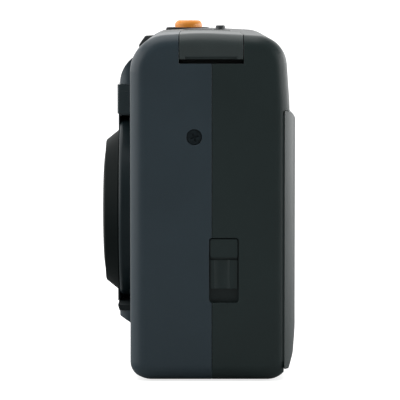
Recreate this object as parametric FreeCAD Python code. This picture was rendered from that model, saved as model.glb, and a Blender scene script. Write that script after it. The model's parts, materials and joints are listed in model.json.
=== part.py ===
"""Compact 35 mm film camera with a flip-up flash, built as separate pieces.

Millimetres. +Z is up, the lens looks along -Y, and +X is the operator's left.
The origin is the mouth of the tripod socket, in the middle of the base.
"""

import FreeCAD
import Part
import math
import os

Vector = FreeCAD.Vector

# Body shell
half_width = 64.0
height = 72.0
crown = 0.9
crown_y = 0.0
front_y = -14.65
back_y = 18.75
seam_y = 2.5
wall = 1.8
end_round = 3.15
front_base_round = 3.3
base_slant_rise = 1.55
base_slant = math.radians(25)
base_slant_round = 5.0
back_base_round = 4.5
front_top_round = 7.8
back_top_round = 6.4
back_lean = 1.0
back_lean_z = 58.1
back_lean_round = 30.0
crown_round = 60.0
seam_groove = 0.15

# Clearances
fit = 0.1
running_gap = 0.2
inside_gap = 0.3
blade_gap = 0.1

# Film door
door_seat_y = 17.6
door_back_y = 20.03
door_top_z = 56.5
door_base_z = 2.4
door_gap = 0.1
door_wall = 1.5
door_top_round = 2.0
hinge_x = -half_width + 2.1
hinge_radius = 1.35
hinge_pin_radius = 0.6
door_inner_x = -half_width + 4.0
door_free_x = half_width - 0.4
opening_x0 = -half_width + 5.4
opening_x1 = half_width - 3.6
opening_z0 = 4.6
opening_z1 = 53.7

# Lens, finder panel and front mouldings
lens_x = 3.0
lens_z = 31.7
ring_z = 32.6
ring_radius = 21.0
ring_front_y = -18.1
ring_edge_round = 0.7
cone_radius = ring_radius - 2.6
cone_step = 0.35
cone_front_radius = ring_radius - 4.9
cone_front_y = -21.4
cone_wall = 1.5
dome_rise = 0.55
plate_radius = cone_front_radius - 1.3
lens_mouth_radius = 6.6
front_bore = ring_radius - 5.0
panel_half_width = 18.0
panel_front_y = -18.4
panel_top_z = ring_z + ring_radius + 7.3
panel_base_z = ring_z - ring_radius - 1.3
bezel_front_y = -18.6
cap_front_y = -17.9
cap_tall = 6.5
chin_front_y = -17.95
chin_lip = 1.2
chin_drop = 3.8
moulding_round = 2.5

# Film bay
film_y = 15.9
deck_y = 15.3
gate_half_width = 18.0
gate_half_height = 12.0
film_half_height = 17.5
rail_rise = 0.5
chamber_z0 = 6.5
chamber_z1 = 54.0
chamber_floor_gap = 0.3
chamber_roof_gap = 0.4
cassette_x = half_width - 16.7
cassette_y = 2.9
cassette_radius = 12.9
spool_x = -half_width + 27.4
spool_y = 5.6
spool_chamber_radius = 9.8
spool_radius = 6.2
spool_bore = 5.3
motor_radius = 4.9
gear_module = 0.6
spool_teeth = 24
idler_teeth = 16
sprocket_teeth = 12
sprocket_x = -20.6
film_teeth = 6
film_hole_pitch = 4.75
sprocket_y = 11.2
gear_z0 = 2.7
gear_thick = 2.2
chassis_top_z = 56.5
tunnel_wall = 0.6
chassis_joints = (-half_width, spool_x - 8.9, lens_x - gate_half_width + 0.1, cassette_x - 18.3, half_width)
chassis_joint_gap = 0.04

# Battery and tripod socket
battery_x = -half_width + 10.7
battery_y = -3.8
battery_radius = 8.6
battery_length = 35.0
battery_door_thick = 1.5
battery_tongue = 2.8
battery_tongue_half = 6.4
battery_hinge_z = 0.8
battery_pin_radius = 0.45
battery_pin_length = 1.3
socket_bore = 2.6
socket_radius = 5.0
socket_depth = 5.5
socket_hole_depth = 4.5

# Flash
flash_inner_x = 13.3
flash_y0 = -4.3
flash_y1 = 9.0
flash_gap = 0.15
flash_lip_z = height - 4.65
flash_finger_gap = 0.95
flash_hinge_radius = 2.75
flash_pin_radius = 0.7
flash_box_x0 = half_width - 38.0
flash_box_x1 = half_width - 7.0
flash_box_z0 = height - 11.2

# Controls on the top
plate_x0 = -half_width + 6.0
plate_x1 = 12.6
plate_y0 = -8.9
plate_y1 = 12.5
plate_thick = 1.0
button_x = -half_width + 20.0
button_y = -2.8
button_length = 11.0
button_width = 6.6
button_top_z = height + 2.7
collar_length = 16.0
collar_width = 10.4
collar_top_z = height + 1.0
mode_x = -30.0
mode_y = 4.9
mode_radius = 1.15
mode_top_z = height + 1.6
switch_x0 = -27.0
switch_x1 = -15.0
switch_travel = 4.0
board_z = height - 6.2
board_thick = 1.0
release_switch_tall = 0.8

# Latch in the left end
latch_y0 = 1.9
latch_y1 = 8.1
latch_z0 = 16.4
latch_z1 = 30.0
latch_edge_gap = 0.22
latch_travel = 2.7
latch_pad_z = 25.9
latch_pad_sink = 0.15
thumb_sink = 0.45
latch_groove = 0.5
latch_thick = 1.15
hook_tall = 2.0
hook_deep = 1.4
catch_z = 13.8
catch_gap = 1.5
catch_tall = 3.0

# Lens cover, lens barrel and shutter
blade_front_y = cone_front_y + 1.35
blade_thick = 0.5
barrel_front_y = -16.6
barrel_back_y = -5.2
barrel_bore = 9.7
cell_radius = barrel_bore - 0.12
cell_front_y = -17.4
cell_back_y = -7.0
front_lens_radius = 6.2
rear_lens_radius = 4.35
shutter_seat_y = -3.4
shutter_pin_aside = 3.0
shutter_pin_drop = 12.0
shutter_leaf = 0.25

# Posts and screws, as places on the board, the ends and the base
board_posts_at = [(-half_width + 10.0, -8.0), (-half_width + 10.0, 12.0), (-12.0, 12.0)]
end_screws_at = [(-1.2, 51.1, True), (-1.2, 51.1, False), (-1.2, 12.6, False)]
base_screws_at = [
    (-32.0, -7.5), (half_width - 8.0, -6.5), (half_width - 8.0, 10.5), (-half_width + 8.0, 11.5),
]
strap_bar_y = 9.5
strap_bar_radius = 0.9
capacitor_x = 26.0


def box(x0, x1, y0, y1, z0, z1):
    """A block between two corners."""
    return Part.makeBox(x1 - x0, y1 - y0, z1 - z0, Vector(x0, y0, z0))


def rod(x, y, z, radius, length, along="z"):
    """A round bar from a point along one axis."""
    direction = {"x": Vector(1, 0, 0), "y": Vector(0, 1, 0), "z": Vector(0, 0, 1)}[along]
    return Part.makeCylinder(radius, length, Vector(x, y, z), direction)


def fuse(*shapes):
    """Several solids as one, with the seams between flat faces removed."""
    first = shapes[0]
    whole = first.fuse(list(shapes[1:])) if len(shapes) > 1 else first
    return whole.removeSplitter()


def cut(shape, *tools):
    """A solid less the tools."""
    return shape.cut(list(tools))


def rounded_edges(corners):
    """Edges round a polygon of (u, v, radius) corners, each corner an arc that meets both sides."""
    edges = []
    points = [Vector(u, v, 0) for u, v, radius in corners]
    count = len(points)
    spans = []
    for index, corner in enumerate(points):
        radius = corners[index][2]
        before = (points[index - 1] - corner).normalize()
        after = (points[(index + 1) % count] - corner).normalize()
        half_angle = before.getAngle(after) / 2
        if radius <= 0:
            spans.append((corner, None, corner))
            continue
        reach = radius / math.tan(half_angle)
        centre = corner + (before + after).normalize() * (radius / math.sin(half_angle))
        middle = centre + (corner - centre).normalize() * radius
        spans.append((corner + before * reach, middle, corner + after * reach))
    for index, (start, middle, end) in enumerate(spans):
        if middle is not None:
            edges.append(Part.Arc(start, middle, end).toShape())
        following = spans[(index + 1) % count][0]
        if end.distanceToPoint(following) > 1e-6:
            edges.append(Part.LineSegment(end, following).toShape())
    return edges


def prism(corners, low, high, along="z"):
    """A rounded polygon carried along an axis. Its corners are (x, y), (y, z) along x or (x, z) along y."""
    face = Part.Face(Part.Wire(rounded_edges(corners)))
    solid = face.extrude(Vector(0, 0, high - low))
    if along == "z":
        matrix = FreeCAD.Matrix(1, 0, 0, 0, 0, 1, 0, 0, 0, 0, 1, low, 0, 0, 0, 1)
    elif along == "x":
        matrix = FreeCAD.Matrix(0, 0, 1, low, 1, 0, 0, 0, 0, 1, 0, 0, 0, 0, 0, 1)
    else:
        matrix = FreeCAD.Matrix(1, 0, 0, 0, 0, 0, -1, high, 0, 1, 0, 0, 0, 0, 0, 1)
    return placed(solid, matrix)


def placed(solid, matrix):
    """The solid moved and turned by a rigid matrix."""
    moved = solid.copy()
    moved.Placement = FreeCAD.Placement(matrix)
    return moved


def slab(x0, x1, y0, y1, z0, z1, radius, along="z"):
    """A block whose four edges along one axis are rounded."""
    if along == "z":
        corners = [(x0, y0, radius), (x1, y0, radius), (x1, y1, radius), (x0, y1, radius)]
        return prism(corners, z0, z1, "z")
    if along == "x":
        corners = [(y0, z0, radius), (y1, z0, radius), (y1, z1, radius), (y0, z1, radius)]
        return prism(corners, x0, x1, "x")
    corners = [(x0, z0, radius), (x1, z0, radius), (x1, z1, radius), (x0, z1, radius)]
    return prism(corners, y0, y1, "y")


def turned_y(profile, x, z):
    """A closed (radius, y) profile turned about an axis along Y."""
    points = [Vector(x + radius, y, z) for radius, y in profile]
    face = Part.Face(Part.makePolygon(points + points[:1]))
    return face.revolve(Vector(x, 0, z), Vector(0, 1, 0), 360)


def turned_z(profile, x, y):
    """A closed (radius, z) profile turned about an upright axis."""
    points = [Vector(x + radius, y, z) for radius, z in profile]
    face = Part.Face(Part.makePolygon(points + points[:1]))
    return face.revolve(Vector(x, y, 0), Vector(0, 0, 1), 360)


def ring_y(x, z, outer, inner, y0, y1):
    """A flat ring about an axis along Y."""
    return rod(x, y0, z, outer, y1 - y0, "y").cut(rod(x, y0 - 1, z, inner, y1 - y0 + 2, "y"))


def soften(shape, radius, chosen):
    """Rounds the edges for which chosen(edge) is true."""
    edges = [edge for edge in shape.Edges if chosen(edge)]
    return shape.makeFillet(radius, edges)


def edges_at(axis, place):
    """A test for edges that lie wholly in one plane across an axis."""
    def lies_there(edge):
        bounds = edge.BoundBox
        low = {"x": bounds.XMin, "y": bounds.YMin, "z": bounds.ZMin}[axis]
        high = {"x": bounds.XMax, "y": bounds.YMax, "z": bounds.ZMax}[axis]
        return abs(low - place) < 0.01 and abs(high - place) < 0.01
    return lies_there


def body_corners(inset):
    """The camera's end outline as (y, z, radius) corners, drawn in by inset."""
    slant_end = front_y + base_slant_rise / math.tan(base_slant)
    slant_top = base_slant_rise + inset * math.tan(math.pi / 4 - base_slant / 2)
    return [
        (front_y + inset, slant_top, front_base_round - inset * 0.6),
        (slant_end + inset * math.tan(base_slant / 2), inset, base_slant_round - inset * 1.5),
        (back_y - inset, inset, back_base_round - inset * 0.6),
        (back_y - inset, back_lean_z, back_lean_round),
        (back_y - back_lean - inset, height - inset, back_top_round - inset),
        (crown_y, height + crown - inset, crown_round),
        (front_y + inset, height - inset, front_top_round - inset),
    ]


def body_form(inset=0.0, rounded=False):
    """The whole outside of the camera, drawn in by inset."""
    end = half_width - inset
    form = prism(body_corners(inset), -end, end, "x")
    if not rounded:
        return form
    on_left = edges_at("x", end)
    on_right = edges_at("x", -end)
    return soften(form, end_round, lambda edge: on_left(edge) or on_right(edge))


def flash_opening(gap):
    """The space that the flash head takes in the top and left end, widened by gap."""
    head = box(
        flash_hinge_x(), half_width + 5, flash_y0 - gap, flash_y1 + gap,
        flash_lip_z - (flash_finger_gap if gap else 0), height + 5,
    )
    pivot = rod(
        flash_hinge_x(), flash_y0 - gap, flash_hinge_z(), flash_hinge_radius + gap,
        flash_y1 - flash_y0 + 2 * gap, "y",
    )
    above = box(
        flash_inner_x - gap, flash_hinge_x() + 1, flash_y0 - gap, flash_y1 + gap,
        flash_hinge_z(), height + 5,
    )
    return fuse(head, pivot, above) if gap else fuse(head, pivot)


def flash_hinge_x():
    """Where the flash head's pin lies along the camera."""
    return flash_inner_x + flash_hinge_radius


def flash_hinge_z():
    """The height of the flash head's pin."""
    return height + crown - flash_hinge_radius - 0.2


def plate_outline(gap, z0, z1):
    """The top plate's plan, widened by gap."""
    return slab(
        plate_x0 - gap, plate_x1 + gap, plate_y0 - gap, plate_y1 + gap, z0, z1, 2.5 + gap,
    )


def oval(x, y, length, width, z0, z1):
    """An upright block with half-round ends along X."""
    half = length / 2
    return slab(x - half, x + half, y - width / 2, y + width / 2, z0, z1, width / 2 - 0.01)


def battery_door_plan(gap):
    """The battery door's plan, a rounded square with a narrower tongue at its hinge, widened by gap."""
    step_x = battery_door_x1() - battery_tongue
    main = slab(
        battery_door_x0() - gap, step_x + 3 * gap,
        battery_y - battery_radius - 0.4 - gap, battery_y + battery_radius + 0.6 + gap,
        -1, wall + 0.2, 1.2,
    )
    tongue = box(
        step_x - 2, battery_door_x1() + gap, battery_y - battery_tongue_half - gap,
        battery_y + battery_tongue_half + gap, -1, wall + 0.2,
    )
    return fuse(main, tongue)


def battery_door_x0():
    """The outer edge of the battery door."""
    return -half_width + 1.9


def battery_door_x1():
    """The hinged edge of the battery door."""
    return battery_x + battery_radius + 0.8


def strap_recess():
    """The hollow in the right end that the strap bar stands in."""
    return slab(
        -half_width - 1, -half_width + 5.2, 5.4, 13.6, height - 13.4, height - 4.6, 1.5, "x",
    )


def screw_seat(y, z, left):
    """The round pocket for an end screw's head, with the hole for its shank."""
    out = half_width
    if left:
        return fuse(rod(out - 0.9, y, z, 1.65, 2, "x"), rod(out - 6, y, z, 0.9, 6, "x"))
    return fuse(rod(-out - 1.1, y, z, 1.65, 2, "x"), rod(-out, y, z, 0.9, 6, "x"))


def base_screw_seat(x, y):
    """The pocket in the base for a screw's head, with the hole for its shank."""
    return fuse(rod(x, y, -1, 1.9, 1.8), rod(x, y, 0, 1.0, 6))


def cover_blank():
    """Both covers as one hollow body, before the seam divides it."""
    shell = cut(body_form(0, True), body_form(wall))
    top_pocket = plate_outline(fit, height - plate_thick, height + 5)
    plate_window = slab(
        plate_x0 + 1.4, plate_x1 - 1.4, plate_y0 + 1.4, plate_y1 - 1.4, height - 4, height, 1.5,
    )
    tools = [
        top_pocket,
        plate_window,
        flash_opening(flash_gap),
        rod(0, 0, -1, socket_radius + fit / 2, 5),
        battery_door_plan(fit),
        *battery_door_pins(fit / 2),
        latch_recess(),
    ]
    tools += [screw_seat(*place) for place in end_screws_at]
    tools += [base_screw_seat(*place) for place in base_screws_at]
    return cut(shell, *tools)


def latch_recess():
    """The window for the latch, just across the seam in the left end."""
    return slab(
        half_width - 4, half_width + 4, latch_y0, latch_y1, latch_z0, latch_z1, 0.6, "x",
    )


def seam_cut():
    """A shallow groove round the body where the two covers meet."""
    band = box(-80, 80, seam_y - 0.08, seam_y + 0.08, -10, 90)
    return cut(band, body_form(seam_groove))


def round_ends(moulding, front):
    """A moulding on the front with its two outer corners rounded, as seen from above."""
    x0 = lens_x - panel_half_width
    x1 = lens_x + panel_half_width
    plan = [(x0, front, moulding_round), (x1, front, moulding_round), (x1, 0, 0), (x0, 0, 0)]
    return moulding.common(prism(plan, 0, height))


def cap_moulding():
    """The brow over the finder panel, its front falling away in one curve."""
    low = panel_top_z
    start = Vector(cap_front_y, low, 0)
    middle = Vector(cap_front_y + 1.05, low + 3.85, 0)
    end = Vector(front_y + 0.5, low + cap_tall, 0)
    inner_top = Vector(front_y + 1.1, low + cap_tall, 0)
    inner_low = Vector(front_y + 1.1, low, 0)
    edges = [
        Part.Arc(start, middle, end).toShape(),
        Part.LineSegment(end, inner_top).toShape(),
        Part.LineSegment(inner_top, inner_low).toShape(),
        Part.LineSegment(inner_low, start).toShape(),
    ]
    solid = Part.Face(Part.Wire(edges)).extrude(Vector(0, 0, 2 * panel_half_width))
    turn = FreeCAD.Matrix(
        0, 0, 1, lens_x - panel_half_width, 1, 0, 0, 0, 0, 1, 0, 0, 0, 0, 0, 1,
    )
    return round_ends(placed(solid, turn), cap_front_y)


def chin_moulding():
    """The ledge under the lens, with a sloping underside."""
    corners = [
        (front_y + 0.8, panel_base_z, 0),
        (chin_front_y, panel_base_z, 0.25),
        (chin_front_y, panel_base_z - chin_lip, 0.25),
        (front_y + 0.8, panel_base_z - chin_drop, 0),
    ]
    ledge = prism(corners, lens_x - panel_half_width, lens_x + panel_half_width, "x")
    return round_ends(ledge, chin_front_y)


def front_grip_form():
    """A low swelling for the fingers, its section a flat arc across the grip."""
    start = Vector(-half_width + 4.0, front_y + 0.6, 0)
    middle = Vector(-half_width + 21.0, front_y - 2.1, 0)
    end = Vector(-half_width + 43.0, front_y + 0.6, 0)
    edges = [Part.Arc(start, middle, end).toShape(), Part.LineSegment(end, start).toShape()]
    bulge = Part.Face(Part.Wire(edges)).extrude(Vector(0, 0, 60))
    bulge.translate(Vector(0, 0, 6))
    bounds = slab(
        -half_width + 3.5, -half_width + 43.5, front_y - 3, front_y + 0.6, 6.5, 61.5, 9.0, "y",
    )
    return bulge.common(bounds)


def grip_rib_grooves():
    """Upright grooves across the grip insert."""
    left = -half_width + 11
    return [
        box(left + 3.2 * step, left + 3.2 * step + 1, front_y - 4, front_y - 1.25, 14, 54)
        for step in range(7)
    ]


def finder_front():
    """The finder's front opening, as x, z, width and height."""
    return lens_x, panel_top_z - 3.6, 11.5, 5.2


def make_front_cover(blank):
    """The front shell with its brow, chin and grip swelling."""
    half = blank.common(box(-80, 80, -60, seam_y, -10, 90))
    solid = fuse(half, cap_moulding(), chin_moulding(), front_grip_form())
    x, z, width, tall = finder_front()
    tools = [
        body_form(wall),
        seam_cut(),
        rod(lens_x, -40, lens_z, front_bore, 60, "y"),
        box(x - width / 2 - 1.2, x + width / 2 + 1.2, -40, -5, z - tall / 2 - 1.2, z + tall / 2 + 1.2),
        switch_channel(),
        cut(grip_insert_form(fit), box(-80, 80, front_y + 0.4, 0, -10, 90)),
    ]
    for side in (-1, 1):
        tools.append(rod(lens_x + side * 11.6, -40, z, 2.2, 35, "y"))
    return cut(solid, *tools)


def grip_insert_form(grow):
    """The grip's soft insert: the swelling's own face, set in a rounded window."""
    window = slab(
        -half_width + 8.5 - grow, -half_width + 36.5 + grow, front_y - 6, front_y - 0.6 + grow,
        11.5 - grow, 56.5 + grow, 5.0 + grow, "y",
    )
    return window.common(raised_grip(0.35))


def raised_grip(rise):
    """The grip swelling lifted by rise."""
    lifted = front_grip_form()
    lifted.translate(Vector(0, -rise, 0))
    return lifted


def make_grip_insert():
    """The ribbed soft insert of the grip."""
    return cut(grip_insert_form(0), *grip_rib_grooves())


def switch_channel():
    """The sunk track for the power switch on the top front edge."""
    track = box(
        switch_x0 - 0.3, switch_x1 + switch_travel + 0.3, front_y - 3, -10.2, height - 5.1, height + 3,
    )
    return cut(track, body_form(0.9))


def make_power_switch():
    """The power switch, a small wedge that slides along the top front edge."""
    corners = [
        (front_y + 0.35, height - 4.6, 0.3),
        (front_y + 0.35, height - 2.8, 0.5),
        (front_y + 1.75, height - 0.8, 0.4),
        (-10.6, height - 0.65, 0.3),
        (-10.6, height - 4.6, 0),
    ]
    wedge = prism(corners, switch_x0, switch_x1, "x")
    grooves = [
        box(switch_x0 + 2.5 + 2.2 * step, switch_x0 + 3.3 + 2.2 * step, -20, -13.0, 60, 80)
        for step in range(4)
    ]
    sunk = wedge.copy()
    sunk.translate(Vector(0, 0.35, -0.35))
    return cut(wedge, body_form(0.85), *[cut(groove, sunk) for groove in grooves])


def eyepiece():
    """The eyepiece opening, as x, z, width and height."""
    return lens_x, height - 10.2, 9.0, 5.6


def make_rear_cover(blank):
    """The rear shell: the frame round the film door, with the latch, strap and eyepiece openings."""
    half = blank.common(box(-80, 80, seam_y, 60, -10, 90))
    recess = box(-80, 80, door_seat_y, 60, -10, door_top_z + door_gap)
    x, z, width, tall = eyepiece()
    tools = [
        recess,
        seam_cut(),
        slab(opening_x0, opening_x1, 12, 30, opening_z0, opening_z1, 2.0, "y"),
        slab(
            x - width / 2 - 1.5, x + width / 2 + 1.5, 10, 40,
            z - tall / 2 - 1.0, z + tall / 2 + 1.0, 1.2, "y",
        ),
        rod(lens_x + 13, 10, z, 1.3, 20, "y"),
    ]
    walls = box(-half_width + wall - 0.1, -half_width + 6.4, 4.2, 14.8, height - 14.6, height - 3.4)
    walls = cut(walls, strap_recess())
    walls = walls.common(body_form(0.5))
    solid = fuse(cut(half, *tools, strap_recess()), walls)
    knuckles = [hinge_knuckle(z0, z1, body=True) for z0, z1 in ((2.4, 9.0), (24.0, 32.0), (47.0, 55.0))]
    bore = rod(hinge_x, hinge_y(), 0, hinge_pin_radius + 0.02, 60)
    return cut(fuse(solid, *knuckles), bore, strap_bar(0.01), flash_pin(fit))


def hinge_y():
    """How far back the door's hinge pin stands."""
    return door_seat_y + hinge_radius + 0.02


def hinge_knuckle(z0, z1, body):
    """One knuckle of the door hinge, with the web that ties it to the body or to the door."""
    knuckle = rod(hinge_x, hinge_y(), z0, hinge_radius, z1 - z0)
    if body:
        web = box(hinge_x - 0.9, hinge_x + 0.9, door_seat_y - 0.4, hinge_y(), z0, z1)
    else:
        web = box(hinge_x, door_inner_x + 0.5, hinge_y() - 0.8, hinge_y() + 0.9, z0, z1)
    return fuse(knuckle, web)


def make_film_door():
    """The film door: a shell with a bowed outline, a light ridge and its hinge knuckles."""
    front = door_seat_y + 0.05
    drop = door_back_y - front
    corners = [
        (front, door_base_z, 0),
        (door_back_y - 1.4, door_base_z + 0.05, 0.4),
        (door_back_y - 0.5, door_base_z + 3.1, 6.0),
        (door_back_y, door_base_z + 8.7, 40.0),
        (door_back_y, door_top_z, door_top_round),
        (front, door_top_z, 0),
    ]
    side = prism(corners, door_inner_x, door_free_x, "x")
    end_bow = 0.99 * drop * math.sqrt(2) / math.tan(math.pi / 8)
    plan = [
        (door_inner_x, front - 1, 0),
        (door_free_x, front - 1, 0),
        (door_free_x, front, 0),
        (door_free_x - drop, door_back_y, end_bow),
        (door_inner_x, door_back_y, 1.0),
    ]
    shell = side.common(prism(plan, 0, 60))
    hollow = slab(
        door_inner_x + 3, door_free_x - 3.4, 10, door_back_y - door_wall, 6.0, 52.5, 1.5, "y",
    )
    bars = []
    for x in (-40.0, -28.5, 34.5):
        bars.append(box(x, x + 1.0, door_seat_y, door_back_y - door_wall + 0.2, 5.5, 53))
    ridge_in = inside_gap + 0.2
    ridge = cut(
        slab(
            opening_x0 + ridge_in, opening_x1 - ridge_in, door_seat_y - 1.0, door_seat_y + 0.6,
            opening_z0 + ridge_in, opening_z1 - ridge_in, 1.5, "y",
        ),
        slab(
            opening_x0 + ridge_in + 0.9, opening_x1 - ridge_in - 0.9, 0, 40,
            opening_z0 + ridge_in + 0.9, opening_z1 - ridge_in - 0.9, 1.0, "y",
        ),
    )
    window = slab(cassette_x - 2.6, cassette_x + 2.6, 10, 40, 16.0, 44.0, 2.0, "y")
    knuckles = [hinge_knuckle(z0, z1, body=False) for z0, z1 in ((9.2, 23.8), (32.2, 46.8))]
    solid = fuse(cut(shell, hollow), *bars, ridge, *knuckles, door_catch())
    grip = [rod(-50 + 2.4 * step, door_back_y + 0.35, 12, 0.6, 30) for step in range(5)]
    bore = rod(hinge_x, hinge_y(), 0, hinge_pin_radius + running_gap / 4, 60)
    return cut(solid, window, bore, *grip)


def door_catch():
    """The catch inside the door's free edge, which the latch's hook holds."""
    return box(
        opening_x1 - 2.4, opening_x1 - 1.3, door_seat_y - 3.6, door_seat_y + 1,
        catch_z, catch_z + catch_tall,
    )


def make_hinge_pin():
    """The steel pin of the door hinge."""
    return rod(hinge_x, hinge_y(), 2.6, hinge_pin_radius, 52.2)


def make_door_window():
    """The clear strip that shows the film cassette."""
    return slab(
        cassette_x - 2.5, cassette_x + 2.5, door_back_y - door_wall + 0.1, door_back_y - 0.25,
        16.1, 43.9, 1.9, "y",
    )


def make_window_seal():
    """The foam frame behind the clear strip."""
    face = door_back_y - door_wall
    outer = slab(cassette_x - 4.2, cassette_x + 4.2, face - 1.0, face, 14.5, 45.5, 2.0, "y")
    return cut(outer, slab(cassette_x - 2.4, cassette_x + 2.4, 0, 40, 16.2, 43.8, 1.8, "y"))


def make_pressure_plate():
    """The black plate that holds the film flat, with rolled edges."""
    y0 = film_y + 0.15
    plate = slab(lens_x - 22, lens_x + 22, y0, y0 + 0.8, lens_z - 17, lens_z + 17, 1.5, "y")
    rims = []
    for x in (lens_x - 22, lens_x + 22):
        rims.append(box(x - 0.5, x + 0.5, y0, y0 + 1.2, lens_z - 15, lens_z + 15))
    dimples = [
        rod(lens_x + 7.5 * column, y0 - 1, lens_z + 7.5 * row, 0.8, 1.2, "y")
        for column in (-2, -1, 0, 1, 2) for row in (-1, 0, 1)
    ]
    posts = [rod(lens_x + side * 14, y0 + 0.5, lens_z, 1.2, 1.1, "y") for side in (-1, 1)]
    return cut(fuse(plate, *rims, *posts), *dimples)


def make_pressure_spring():
    """The bowed leaf spring between the door and the pressure plate."""
    y_far = door_back_y - door_wall
    start = Vector(lens_x - 17, y_far - 0.02, 0)
    middle = Vector(lens_x, y_far - 0.7, 0)
    end = Vector(lens_x + 17, y_far - 0.02, 0)
    lift = Vector(0, -0.2, 0)
    edges = [
        Part.Arc(start, middle, end).toShape(),
        Part.LineSegment(end, end + lift).toShape(),
        Part.Arc(end + lift, middle + lift, start + lift).toShape(),
        Part.LineSegment(start + lift, start).toShape(),
    ]
    leaf = Part.Face(Part.Wire(edges)).extrude(Vector(0, 0, 8))
    leaf.translate(Vector(0, 0, lens_z + 3))
    return leaf


def gear(x, y, teeth, tooth_angle):
    """A spur gear with straight-sided teeth, one of them pointing along an angle."""
    pitch_radius = gear_module * teeth / 2
    root = pitch_radius - 1.2 * gear_module
    tip = pitch_radius + 0.85 * gear_module
    step = 2 * math.pi / teeth
    points = []
    for index in range(teeth):
        middle = tooth_angle + index * step
        for share, radius in ((-0.29, root), (-0.12, tip), (0.12, tip), (0.29, root)):
            angle = middle + share * step
            points.append(Vector(x + radius * math.cos(angle), y + radius * math.sin(angle), gear_z0))
    return Part.Face(Part.makePolygon(points + points[:1])).extrude(Vector(0, 0, gear_thick))


def meshed_angle(tooth_angle, teeth, line, next_teeth):
    """The tooth angle of the next gear along a line, its gaps over the first gear's teeth."""
    share = (line - tooth_angle) / (2 * math.pi / teeth)
    return line + math.pi - (2 * math.pi / next_teeth) * (0.5 - share)


def idler_place():
    """Where the idler stands so that it meshes with the spool's gear and the sprocket's."""
    to_spool = gear_module * (spool_teeth + idler_teeth) / 2
    to_sprocket = gear_module * (sprocket_teeth + idler_teeth) / 2
    across_x = sprocket_x - spool_x
    across_y = sprocket_y - spool_y
    apart = math.hypot(across_x, across_y)
    along = (to_spool ** 2 - to_sprocket ** 2 + apart ** 2) / (2 * apart)
    aside = math.sqrt(to_spool ** 2 - along ** 2)
    x = spool_x + (along * across_x + aside * across_y) / apart
    y = spool_y + (along * across_y - aside * across_x) / apart
    return x, y


def idler_angle():
    """The idler's tooth angle, meshed with a spool gear whose first tooth points along +X."""
    x, y = idler_place()
    line = math.atan2(y - spool_y, x - spool_x)
    return meshed_angle(0.0, spool_teeth, line, idler_teeth)


def sprocket_gear_angle():
    """The tooth angle of the sprocket's gear, meshed with the idler."""
    x, y = idler_place()
    line = math.atan2(sprocket_y - y, sprocket_x - x)
    return meshed_angle(idler_angle(), idler_teeth, line, sprocket_teeth)


def make_idler_gear():
    """The idler between the spool's gear and the sprocket's, with its stub shaft."""
    x, y = idler_place()
    return fuse(gear(x, y, idler_teeth, idler_angle()), rod(x, y, gear_z0 + gear_thick, 1.2, 1.2))


def gate_cone():
    """The light path from the shutter to the film gate, a four-sided funnel."""
    near = Part.makePolygon([
        Vector(lens_x + i * 8.5, -6, lens_z + k * 8.0)
        for i, k in ((-1, -1), (1, -1), (1, 1), (-1, 1), (-1, -1))
    ])
    far = Part.makePolygon([
        Vector(lens_x + i * gate_half_width, deck_y + 1, lens_z + k * gate_half_height)
        for i, k in ((-1, -1), (1, -1), (1, 1), (-1, 1), (-1, -1))
    ])
    return Part.makeLoft([near, far], True, True)


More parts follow.
